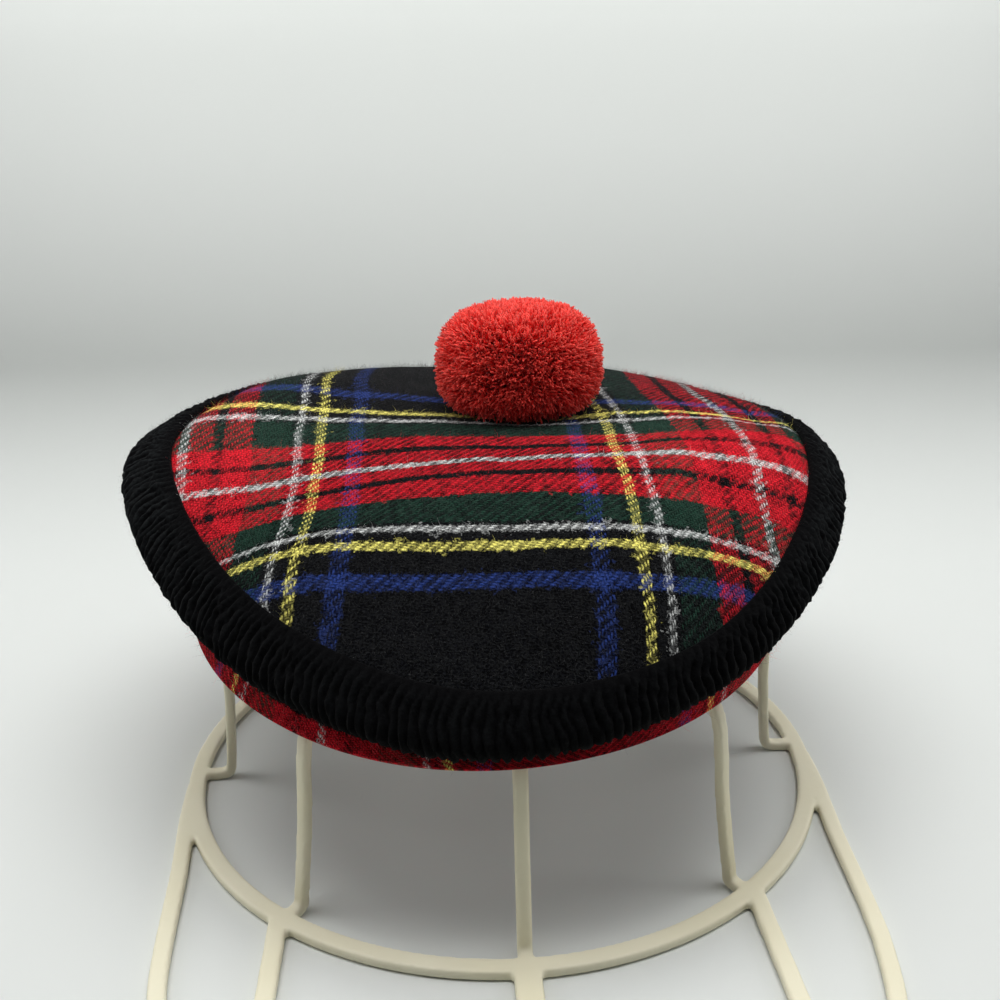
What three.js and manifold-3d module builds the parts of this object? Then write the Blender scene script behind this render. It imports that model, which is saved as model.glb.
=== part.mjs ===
// A tam o shanter of brushed tartan wool, resting on a plain moulded hat stand.
// Millimetres, +Z up, +Y from the front of the hat to its back, the base ring round the Z axis.
import * as THREE from "three";
import { mergeVertices } from "three/addons/utils/BufferGeometryUtils.js";
import Module from "manifold-3d";

const wasm = await Module();
wasm.setup();

// Driving dimensions of the hat
const rimOverhang = 23.8; // how much wider the crown's radius is than the head opening's
const crownOffset = -3; // middle of the crown, to the right of the stand's axis
const crownSetback = 18; // middle of the crown, behind the stand's axis
const crownHeight = 60; // middle of the crown above the front of the head opening
const crownFlatness = 2.4; // power of the crown's dome: higher keeps it flat further out
const dimpleDepth = 2; // where the pompom is sewn down
const dimpleRadius = 20;
const openingHeight = 52.5; // front of the head opening above the table
const openingRadius = 88.2;
const openingSetback = 1;
const openingTilt = 8; // degrees, front down
const clothThickness = 1.6;
const bindingWidth = 16;
const bindingThickness = 7;
const seamDepth = 6; // how far both cloths reach into the folded binding
const bagSwell = 7; // how far the underside bulges beyond a straight wall

// Driving dimensions of the pompom
const pompomWidth = 52.5;
const pompomHeight = 33.5;
const pompomOffset = 7.4;
const pompomSetback = 25;
const pompomFullness = 2.6; // 2 is an ellipsoid, more is squarer
const lockCount = 64;
const lockSides = 5;
const lockRootRadius = 6.6;
const lockTipRadius = 3;
const lockReach = 2.6; // how far the locks stand out of the pompom's head

// Driving dimensions of the stand
const ringWidth = 5;
const barThickness = 3; // every bar and the ring, and the height of all that lies on the table
const ribWidth = 4;
const postDrop = 1.5; // from the front of the head opening down to where the ribs bend inwards
const postInset = 4.2; // from the head opening's edge to the middle of the posts' tops
const footSpread = 7; // how far the front and back posts lean outwards
const sideSpread = 3; // the same for the side posts
const footLength = 4; // level foot between the leaning posts and the ring
const hubRadius = 11;
const domePower = 1.75;
const domeRound = 0.95;
const standTurn = 3.4; // degrees
const brimLength = 68; // from the front of the ring to the front of the brim frame
const brimInset = 5.8; // how much narrower half the brim frame is than the ring's radius
const brimBarWidth = 4;
const brimRibSpread = 64;
const brimMiddleRibWidth = 7;
const brimSideRibWidth = 5;

// Clearances
const gap = 0.3; // between pieces that touch on the real object
const restGap = 0.4; // between the crown's inside and the hub that carries it

// Fineness of the surfaces
const stations = 56; // sections round the hat
const ringSegments = 48;
const ribSteps = 22;
const brimSteps = 40;

// The rim, one row for each section, anticlockwise from the hat's left side.
// turn: degrees round the crown; reach: of crownRadius; level: of crownHeight, above the
// front of the head opening; pitch: degrees that the binding slopes down; spread: of
// bindingWidth; hollow: of crownHeight, how far the cloth sinks halfway out; bag: of bagSwell.
const rimRows = [
  { turn: -180, reach: 1.0, level: 0.77, pitch: 20, spread: 1.0, hollow: 0.0, bag: 1.0 },
  { turn: -150, reach: 0.955, level: 0.49, pitch: 44, spread: 1.06, hollow: 0.01, bag: 0.2 },
  { turn: -120, reach: 0.95, level: 0.262, pitch: 45, spread: 1.0, hollow: 0.015, bag: 0.0 },
  { turn: -90, reach: 0.995, level: 0.15, pitch: 43, spread: 0.94, hollow: 0.0, bag: 0.0 },
  { turn: -60, reach: 0.982, level: 0.24, pitch: 56, spread: 0.76, hollow: -0.01, bag: 0.0 },
  { turn: -30, reach: 0.988, level: 0.475, pitch: 53, spread: 0.88, hollow: 0.0, bag: 0.3 },
  { turn: 0, reach: 0.987, level: 0.74, pitch: 42, spread: 1.0, hollow: 0.0, bag: 1.0 },
  { turn: 30, reach: 0.978, level: 0.775, pitch: 34, spread: 1.0, hollow: 0.0, bag: 1.0 },
  { turn: 60, reach: 0.972, level: 0.7, pitch: 38, spread: 1.0, hollow: 0.01, bag: 1.0 },
  { turn: 90, reach: 0.964, level: 0.65, pitch: 42, spread: 1.0, hollow: 0.0, bag: 1.0 },
  { turn: 120, reach: 0.978, level: 0.74, pitch: 36, spread: 1.0, hollow: 0.0, bag: 1.0 },
  { turn: 150, reach: 1.0, level: 0.845, pitch: 24, spread: 1.0, hollow: -0.01, bag: 1.0 },
];

// The brim frame's side, from the ring to the front: out is a share of brimHalfWidth,
// forward a share of brimReach.
const brimRows = [
  { out: 1.053, forward: 0.179 },
  { out: 1.022, forward: 0.25 },
  { out: 1.0, forward: 0.32 },
  { out: 0.989, forward: 0.42 },
  { out: 0.978, forward: 0.51 },
  { out: 0.962, forward: 0.585 },
  { out: 0.9, forward: 0.726 },
  { out: 0.75, forward: 0.863 },
  { out: 0.43, forward: 0.964 },
];

const wool = new THREE.MeshStandardMaterial({ color: 0x2a1416, roughness: 0.95, metalness: 0 });
const woolUnder = new THREE.MeshStandardMaterial({ color: 0x7c1420, roughness: 0.95, metalness: 0 });
const knit = new THREE.MeshStandardMaterial({ color: 0x0c0c0e, roughness: 0.9, metalness: 0 });
const yarn = new THREE.MeshStandardMaterial({ color: 0xc8202a, roughness: 0.95, metalness: 0 });
const plastic = new THREE.MeshStandardMaterial({ color: 0xe4dfcb, roughness: 0.45, metalness: 0 });

const crownRadius = openingRadius + rimOverhang; // from the crown's middle to the rim
const postHeight = openingHeight - postDrop;
const postTopRadius = openingRadius - postInset;
const postFootRadius = postTopRadius + footSpread;
const postSideRadius = postTopRadius + sideSpread;
const ringInnerRadius = postFootRadius + footLength;
const ringOuterRadius = ringInnerRadius + ringWidth;
const brimReach = ringOuterRadius + brimLength; // from the stand's axis to the brim's front
const brimHalfWidth = ringOuterRadius - brimInset;
const crownLevel = openingHeight + crownHeight;
const radians = THREE.MathUtils.degToRad;

// One named column of the rim table at any turn, on a smooth closed curve.
function rimValue(column, turn) {
  const step = 360 / rimRows.length;
  const place = (turn - rimRows[0].turn) / step;
  const index = Math.floor(place);
  const t = place - index;
  const [a, b, c, d] = [-1, 0, 1, 2].map(
    (k) => rimRows[(((index + k) % rimRows.length) + rimRows.length) % rimRows.length][column],
  );
  return b + 0.5 * t * (c - a + t * (2 * a - 5 * b + 4 * c - d + t * (3 * (b - c) + d - a)));
}

// The frame of the binding at one turn: its inner top edge, the way out along its width and
// the way up through its thickness.
function rimFrame(turn) {
  const pitch = radians(rimValue("pitch", turn));
  const width = bindingWidth * rimValue("spread", turn);
  const reach = crownRadius * rimValue("reach", turn);
  const level = openingHeight + crownHeight * rimValue("level", turn);
  const radial = new THREE.Vector3(Math.cos(radians(turn)), Math.sin(radians(turn)), 0);
  const rise = new THREE.Vector3(0, 0, 1);
  const out = radial.clone().multiplyScalar(Math.cos(pitch)).addScaledVector(rise, -Math.sin(pitch));
  const up = radial.clone().multiplyScalar(Math.sin(pitch)).addScaledVector(rise, Math.cos(pitch));
  const inner = new THREE.Vector3(crownOffset, crownSetback, level)
    .addScaledVector(radial, reach)
    .addScaledVector(out, -width);
  const at = (along, depth) => inner.clone().addScaledVector(out, along).addScaledVector(up, -depth);
  return { turn, pitch, width, radial, at };
}

const bindingWall = (bindingThickness - 2 * clothThickness - 3 * gap) / 2;
const crownDepth = bindingWall + gap + clothThickness / 2; // crown cloth's middle below the band's top
const undersideDepth = bindingThickness - crownDepth;

// How far the cloth is pressed down round the pompom's stitches.
function dimple(x, y) {
  const away = Math.hypot(x - pompomOffset, y - pompomSetback) / dimpleRadius;
  return dimpleDepth * Math.exp(-away * away);
}

// A point on the middle of the crown's cloth, from its centre (share 0) to the binding (1).
function crownPoint(frame, share) {
  const edge = frame.at(0, crownDepth);
  const reach = Math.hypot(edge.x - crownOffset, edge.y - crownSetback);
  const drop = crownLevel - edge.z;
  const edgePower = 9; // how late the cloth turns to the binding's pitch
  const roll = (crownFlatness * drop - reach * Math.tan(frame.pitch)) / (edgePower - crownFlatness);
  const dome = share ** crownFlatness;
  const fall = drop * dome + roll * (dome - share ** edgePower);
  const hollow = crownHeight * rimValue("hollow", frame.turn) * Math.sin(Math.PI * share) ** 2;
  const x = crownOffset + frame.radial.x * reach * share;
  const y = crownSetback + frame.radial.y * reach * share;
  return new THREE.Vector3(x, y, crownLevel - fall - hollow - dimple(x, y));
}

// Height of the middle of the crown's cloth over any point of the plan inside the binding.
function crownHeightAt(x, y) {
  const turn = THREE.MathUtils.radToDeg(Math.atan2(y - crownSetback, x - crownOffset));
  const frame = rimFrame(turn);
  const edge = frame.at(0, crownDepth);
  const reach = Math.hypot(edge.x - crownOffset, edge.y - crownSetback);
  return crownPoint(frame, Math.hypot(x - crownOffset, y - crownSetback) / reach).z;
}

// Turns an indexed list of points and faces into a geometry.
function geometryOf(points, faces) {
  const geometry = new THREE.BufferGeometry();
  geometry.setAttribute("position", new THREE.Float32BufferAttribute(points.flatMap((p) => [p.x, p.y, p.z]), 3));
  geometry.setIndex(faces.flat());
  geometry.computeVertexNormals();
  return geometry;
}

// Which way a surface of rings faces at one of its points.
function surfaceNormal(rings, i, j) {
  const count = rings[0].length;
  const along = rings[Math.min(i + 1, rings.length - 1)][j].clone().sub(rings[Math.max(i - 1, 0)][j]);
  const around = rings[i][(j + 1) % count].clone().sub(rings[i][(j + count - 1) % count]);
  return along.cross(around).normalize();
}

// A cloth of one thickness over rings of points; with a centre the first ring is closed by it.
function clothGeometry(rings, thickness, centre) {
  const count = rings[0].length;
  const size = rings.length * count;
  const points = [];
  for (const side of [1, -1]) {
    rings.forEach((ring, i) =>
      ring.forEach((p, j) => {
        points.push(p.clone().addScaledVector(surfaceNormal(rings, i, j), (side * thickness) / 2));
      }),
    );
  }
  const faces = [];
  const quad = (a, b, c, d) => faces.push([a, b, c], [a, c, d]);
  for (let j = 0; j < count; j += 1) {
    const k = (j + 1) % count;
    for (let i = 0; i + 1 < rings.length; i += 1) {
      const row = i * count;
      const next = row + count;
      quad(row + j, next + j, next + k, row + k);
      quad(size + row + k, size + next + k, size + next + j, size + row + j);
    }
    const last = size - count;
    quad(last + j, size + last + j, size + last + k, last + k);
    if (!centre) quad(j, k, size + k, size + j);
  }
  if (centre) {
    const top = points.push(centre.clone().add(new THREE.Vector3(0, 0, thickness / 2))) - 1;
    const bottom = points.push(centre.clone().sub(new THREE.Vector3(0, 0, thickness / 2))) - 1;
    for (let j = 0; j < count; j += 1) {
      const k = (j + 1) % count;
      faces.push([top, j, k], [bottom, size + k, size + j]);
    }
  }
  return geometryOf(points, faces);
}

// A solid swept round the hat: one closed outline for each station.
function hoopGeometry(outlines) {
  const count = outlines[0].length;
  const faces = [];
  outlines.forEach((outline, j) => {
    const here = j * count;
    const next = ((j + 1) % outlines.length) * count;
    outline.forEach((_, i) => {
      const k = (i + 1) % count;
      faces.push([here + i, here + k, next + k], [here + i, next + k, next + i]);
    });
  });
  return geometryOf(outlines.flat(), faces);
}

const frames = Array.from({ length: stations }, (_, j) => rimFrame(-180 + (360 * j) / stations));

// The crown: a domed disc of cloth whose edge lies inside the folded binding.
function crownTop() {
  const shares = [0.12, 0.24, 0.36, 0.48, 0.6, 0.7, 0.79, 0.87, 0.94, 1];
  const rings = shares.map((share) => frames.map((frame) => crownPoint(frame, share)));
  rings.push(frames.map((frame) => frame.at(seamDepth / 2, crownDepth)));
  rings.push(frames.map((frame) => frame.at(seamDepth, crownDepth)));
  return clothGeometry(rings, clothThickness, crownPoint(frames[0], 0));
}

// The binding: a folded band, open towards the middle, with a round outer edge.
function rimBinding() {
  const slot = seamDepth + gap;
  const half = bindingThickness / 2;
  const outline = (frame) => {
    const points = [frame.at(0, 0), frame.at((frame.width - half) / 2, -0.25 * bindingWall)];
    const roundSteps = 6;
    for (let i = 0; i <= roundSteps; i += 1) {
      const angle = (Math.PI * i) / roundSteps;
      points.push(frame.at(frame.width - half + half * Math.sin(angle), half - half * Math.cos(angle)));
    }
    points.push(frame.at(0, bindingThickness), frame.at(0, bindingThickness - bindingWall));
    points.push(frame.at(slot, bindingThickness - bindingWall), frame.at(slot, bindingWall));
    points.push(frame.at(0, bindingWall));
    return points;
  };
  return hoopGeometry(frames.map(outline));
}

// A point of the head opening's edge, in its tilted plane.
function openingPoint(frame) {
  const back = openingSetback + openingRadius * frame.radial.y;
  const behindFront = openingRadius * (1 + frame.radial.y);
  const level = openingHeight + behindFront * Math.tan(radians(openingTilt));
  return new THREE.Vector3(crownOffset + openingRadius * frame.radial.x, back, level);
}

// The underside: cloth that leaves the binding, turns round its lower lip and hangs in a
// soft bag to the head opening.
function underside() {
  const clear = clothThickness / 2 + 2 * gap;
  const section = (frame) => {
    const lip = frame.at(-clear, bindingThickness + 2 * clear);
    const edge = openingPoint(frame);
    const swell = bagSwell * rimValue("bag", frame.turn);
    const between = (share, bulge) => lip.clone().lerp(edge, share).addScaledVector(frame.radial, swell * bulge);
    return new THREE.CatmullRomCurve3([
      frame.at(0, undersideDepth),
      frame.at(-1.9, bindingThickness - 0.7),
      lip,
      between(0.3, 0.75),
      between(0.62, 1),
      between(0.88, 0.5),
      edge,
    ]);
  };
  const curves = frames.map(section);
  const rings = [seamDepth, seamDepth / 2].map((along) => frames.map((frame) => frame.at(along, undersideDepth)));
  const steps = 8;
  for (let i = 0; i <= steps; i += 1) rings.push(curves.map((curve) => curve.getPoint(i / steps)));
  return clothGeometry(rings, clothThickness);
}

// A closed geometry as a manifold solid.
function solidOf(geometry) {
  const bare = geometry.clone();
  bare.deleteAttribute("normal");
  bare.deleteAttribute("uv");
  const merged = mergeVertices(bare, 1e-4);
  return new wasm.Manifold(
    new wasm.Mesh({
      numProp: 3,
      vertProperties: merged.attributes.position.array,
      triVerts: new Uint32Array(merged.index.array),
    }),
  );
}

// A manifold solid as a geometry.
function geometryFrom(solid) {
  const { vertProperties, triVerts, numProp } = solid.getMesh();
  const points = [];
  for (let i = 0; i < vertProperties.length; i += numProp) {
    points.push(new THREE.Vector3(vertProperties[i], vertProperties[i + 1], vertProperties[i + 2]));
  }
  return geometryOf(points, [Array.from(triVerts)]);
}

// Distance from the pompom's middle to its outside, along a direction.
function pompomReach(out) {
  const power = pompomFullness;
  const flat = Math.hypot(out.x, out.y) / (pompomWidth / 2);
  const rise = Math.abs(out.z) / (pompomHeight / 2);
  return (flat ** power + rise ** power) ** (-1 / power);
}

// The pompom: blunt locks of yarn on a flattened head, none of them lower than the cloth.
function pompom() {
  const cloth = (x, y) => crownHeightAt(x, y) + clothThickness / 2 + gap;
  const middle = new THREE.Vector3(pompomOffset, pompomSetback, pompomHeight / 2);
  middle.z += cloth(pompomOffset, pompomSetback);
  const core = new THREE.SphereGeometry(1, 18, 10).rotateX(Math.PI / 2);
  const places = core.getAttribute("position");
  for (let i = 0; i < places.count; i += 1) {
    const out = new THREE.Vector3().fromBufferAttribute(places, i).normalize();
    const p = out.clone().multiplyScalar(pompomReach(out) - lockReach * Math.max(0, 1 + 2 * out.z) / 3);
    p.add(middle);
    places.setXYZ(i, p.x, p.y, Math.max(p.z, cloth(p.x, p.y)));
  }
  let solid = solidOf(core);
  const golden = Math.PI * (3 - Math.sqrt(5));
  const length = 3 * lockReach;
  for (let i = 0; i < lockCount; i += 1) {
    const rise = 1 - (2 * (i + 0.5)) / lockCount;
    const flat = Math.sqrt(1 - rise * rise);
    const out = new THREE.Vector3(flat * Math.cos(golden * i), flat * Math.sin(golden * i), rise);
    const tip = out.clone().multiplyScalar(pompomReach(out)).add(middle);
    const root = tip.clone().addScaledVector(out, -length);
    const low = Math.min(tip.z - lockTipRadius, root.z - lockRootRadius);
    if (low < cloth(tip.x, tip.y)) continue;
    const lock = new THREE.CylinderGeometry(lockTipRadius, lockRootRadius, length, lockSides);
    lock.applyQuaternion(new THREE.Quaternion().setFromUnitVectors(new THREE.Vector3(0, 1, 0), out));
    const centre = tip.clone().lerp(root, 0.5);
    solid = solid.add(solidOf(lock.translate(centre.x, centre.y, centre.z)));
  }
  return geometryFrom(solid);
}

// A bar's section: a plain rectangle.
function barShape(across, deep) {
  const [x, y] = [across / 2, deep / 2];
  return new THREE.Shape().moveTo(-x, -y).lineTo(x, -y).lineTo(x, y).lineTo(-x, y);
}

// The ring's section, with its long edges taken off.
function ringProfile() {
  const edge = 0.8;
  const [inner, outer] = [ringInnerRadius, ringOuterRadius];
  const corners = [
    [inner + edge, 0],
    [outer - edge, 0],
    [outer, edge],
    [outer, barThickness - edge],
    [outer - edge, barThickness],
    [inner + edge, barThickness],
    [inner, barThickness - edge],
    [inner, edge],
    [inner + edge, 0],
  ];
  return corners.map(([x, y]) => new THREE.Vector2(x, y));
}

function baseRing() {
  return new THREE.LatheGeometry(ringProfile(), ringSegments).rotateX(Math.PI / 2);
}

const levelReach = 1.5 * hubRadius; // how far the ribs run level before they meet the hub

// Top of the hub, just under the crown's cloth over the hub and the level ends of the ribs.
function hubTop() {
  const heights = Array.from({ length: 24 }, (_, i) => {
    const angle = (2 * Math.PI * i) / 24;
    return crownHeightAt(levelReach * Math.cos(angle), levelReach * Math.sin(angle));
  });
  return Math.min(...heights) - clothThickness - restGap;
}

// Height of a rib's middle line over its distance from the axis, above the straight posts.
function domeHeightAt(radius, top) {
  const share = Math.min(1, radius / postTopRadius);
  return postHeight + (top - postHeight) * (1 - share ** domePower) ** domeRound;
}

// An upright rib in the XZ plane: a foot on the ring's level, a post, and the dome to the hub.
function standRib(footRadius, top) {
  const half = barThickness / 2;
  const points = [
    [ringInnerRadius - gap, half],
    [footRadius + 3, half],
    [footRadius + 0.6, half + 0.9],
    [footRadius, half + 4],
    [(footRadius + postTopRadius) / 2, postHeight / 2],
  ];
  for (const share of [1, 0.955, 0.88, 0.76, 0.6, 0.4]) {
    points.push([postTopRadius * share, domeHeightAt(postTopRadius * share, top)]);
  }
  points.push([levelReach, top], [hubRadius + gap, top]);
  const path = new THREE.CatmullRomCurve3(points.map(([x, z]) => new THREE.Vector3(x, 0, z)));
  return new THREE.ExtrudeGeometry(barShape(ribWidth, barThickness), { steps: ribSteps, extrudePath: path });
}

// The middle line of the brim frame's outer bar, from one side of the ring to the other.
function brimPath() {
  const side = (sign) =>
    brimRows.map((row) => new THREE.Vector3(sign * brimHalfWidth * row.out, -brimReach * row.forward, barThickness / 2));
  const front = new THREE.Vector3(0, -brimReach, barThickness / 2);
  return new THREE.CatmullRomCurve3([...side(-1), front, ...side(1).reverse()]);
}

function brimRim() {
  const shape = barShape(barThickness, brimBarWidth);
  return new THREE.ExtrudeGeometry(shape, { steps: brimSteps, extrudePath: brimPath() });
}

// A straight bar from the ring to the outer bar, cut clear of both.
function brimRib(across, width) {
  const bar = new THREE.BoxGeometry(width, brimReach, barThickness);
  bar.translate(across, -brimReach / 2, barThickness / 2);
  const keepOff = new THREE.CylinderGeometry(1, 1, 3 * barThickness, 120).rotateX(Math.PI / 2);
  keepOff.scale(ringOuterRadius + gap, ringOuterRadius + gap, 1);
  const wide = barShape(3 * barThickness, brimBarWidth + 2 * gap);
  const trench = new THREE.ExtrudeGeometry(wide, { steps: brimSteps, extrudePath: brimPath() });
  const pieces = solidOf(bar).subtract(solidOf(keepOff)).subtract(solidOf(trench)).decompose();
  const reach = (piece) => piece.boundingBox().max[1];
  pieces.sort((a, b) => reach(b) - reach(a));
  return geometryFrom(pieces[0]);
}

const model = new THREE.Group();
const hat = new THREE.Group();
const stand = new THREE.Group();
stand.rotation.z = radians(standTurn);
model.add(hat, stand);

function place(group, name, geometry, material, turn = 0) {
  const mesh = new THREE.Mesh(geometry, material);
  mesh.name = name;
  mesh.rotation.z = radians(turn);
  group.add(mesh);
}

place(hat, "crown_top", crownTop(), wool);
place(hat, "rim_binding", rimBinding(), knit);
place(hat, "underside", underside(), woolUnder);
place(hat, "pompom", pompom(), yarn);

const top = hubTop() - barThickness / 2;
place(stand, "base_ring", baseRing(), plastic);
const ribTurns = [-178, -130, -90, -50, -2, 45, 90, 135];
ribTurns.forEach((turn, i) => {
  const sideways = Math.abs(Math.cos(radians(turn))) ** 4;
  const foot = THREE.MathUtils.lerp(postFootRadius, postSideRadius, sideways);
  place(stand, "stand_rib_" + (i + 1), standRib(foot, top), plastic, turn);
});
const hub = new THREE.CylinderGeometry(hubRadius, hubRadius, barThickness, 32).rotateX(Math.PI / 2);
place(stand, "stand_hub", hub.translate(0, 0, top), plastic);
place(stand, "brim_rim", brimRim(), plastic);
[-brimRibSpread, 0, brimRibSpread].forEach((across, i) => {
  const width = across === 0 ? brimMiddleRibWidth : brimSideRibWidth;
  place(stand, "brim_rib_" + (i + 1), brimRib(across, width), plastic);
});

// The part's origin is the middle of its bounding box, on the table.
const bounds = new THREE.Box3().setFromObject(model, true);
model.position.set(-(bounds.min.x + bounds.max.x) / 2, -(bounds.min.y + bounds.max.y) / 2, -bounds.min.z);
const part = new THREE.Group();
part.add(model);

export default part;
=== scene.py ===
"""A tam o shanter of brushed tartan wool, resting on a plain moulded hat stand."""
import logging
import math
from dataclasses import dataclass, field
from enum import Enum

import bmesh
import bpy
import numpy as np
from mathutils import Matrix, Vector


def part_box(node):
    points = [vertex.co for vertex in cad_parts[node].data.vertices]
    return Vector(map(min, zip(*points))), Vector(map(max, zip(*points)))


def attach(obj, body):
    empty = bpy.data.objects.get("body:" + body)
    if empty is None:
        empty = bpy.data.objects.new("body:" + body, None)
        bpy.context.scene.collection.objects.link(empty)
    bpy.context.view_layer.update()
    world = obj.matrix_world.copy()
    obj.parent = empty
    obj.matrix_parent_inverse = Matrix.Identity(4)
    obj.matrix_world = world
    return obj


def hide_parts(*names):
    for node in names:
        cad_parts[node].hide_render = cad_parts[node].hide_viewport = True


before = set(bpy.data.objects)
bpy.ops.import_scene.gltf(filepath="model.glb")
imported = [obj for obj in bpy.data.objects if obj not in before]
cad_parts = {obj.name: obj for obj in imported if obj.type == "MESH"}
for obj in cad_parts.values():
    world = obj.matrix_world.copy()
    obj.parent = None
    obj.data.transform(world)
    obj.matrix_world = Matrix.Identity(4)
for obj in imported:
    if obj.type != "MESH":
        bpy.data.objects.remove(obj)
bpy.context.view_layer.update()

log = logging.getLogger("tam_o_shanter")

MM = 0.001
WEAVE = "Weave"
SHADE = "Shade"
ALONG = "Along"
ROUND = "Round"
ACROSS = "Across"
RIDGE = "Ridge"
HALVES = (0.5, 0.5, 0.5)


def srgb(red: float, green: float, blue: float) -> tuple[float, float, float, float]:
    """Turns a colour as seen on a screen into a linear one.

    Args:
        red: Red, 0 to 255.
        green: Green, 0 to 255.
        blue: Blue, 0 to 255.

    Returns:
        Linear red, green, blue and an alpha of 1.
    """
    values = [c / 255 for c in (red, green, blue)]
    linear = [c / 12.92 if c <= 0.04045 else ((c + 0.055) / 1.055) ** 2.4 for c in values]
    return (linear[0], linear[1], linear[2], 1.0)


class Expr:
    """A value socket in a node tree, written with Python's operators."""

    def __init__(self, graph: "Graph", socket: bpy.types.NodeSocket) -> None:
        """Wraps one output socket of a graph."""
        self.graph = graph
        self.socket = socket

    def __add__(self, other: "Expr | float") -> "Expr":
        """Sum."""
        return self.graph.maths("ADD", self, other)

    __radd__ = __add__

    def __sub__(self, other: "Expr | float") -> "Expr":
        """Difference."""
        return self.graph.maths("SUBTRACT", self, other)

    def __rsub__(self, other: "Expr | float") -> "Expr":
        """Difference, the other way round."""
        return self.graph.maths("SUBTRACT", other, self)

    def __mul__(self, other: "Expr | float") -> "Expr":
        """Product."""
        return self.graph.maths("MULTIPLY", self, other)

    __rmul__ = __mul__

    def __truediv__(self, other: "Expr | float") -> "Expr":
        """Quotient."""
        return self.graph.maths("DIVIDE", self, other)

    def __rtruediv__(self, other: "Expr | float") -> "Expr":
        """Quotient, the other way round."""
        return self.graph.maths("DIVIDE", other, self)

    def __mod__(self, other: "Expr | float") -> "Expr":
        """Remainder that is never negative."""
        return self.graph.maths("FLOORED_MODULO", self, other)

    def __pow__(self, other: "Expr | float") -> "Expr":
        """Power."""
        return self.graph.maths("POWER", self, other)

    def __lt__(self, other: "Expr | float") -> "Expr":
        """1 where this is the smaller, else 0."""
        return self.graph.maths("LESS_THAN", self, other)

    def __gt__(self, other: "Expr | float") -> "Expr":
        """1 where this is the larger, else 0."""
        return self.graph.maths("GREATER_THAN", self, other)

    def floor(self) -> "Expr":
        """Largest whole number below."""
        return self.graph.maths("FLOOR", self)

    def fract(self) -> "Expr":
        """What is left above the whole number below."""
        return self.graph.maths("FRACT", self)

    def sine(self) -> "Expr":
        """Sine of an angle in radians."""
        return self.graph.maths("SINE", self)

    def size(self) -> "Expr":
        """Absolute value."""
        return self.graph.maths("ABSOLUTE", self)

    def clamped(self) -> "Expr":
        """Held between 0 and 1."""
        return self.graph.maths("MINIMUM", self.graph.maths("MAXIMUM", self, 0.0), 1.0)


Link = Expr | bpy.types.NodeSocket | float | int | bool | tuple | str | bpy.types.ID


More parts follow.
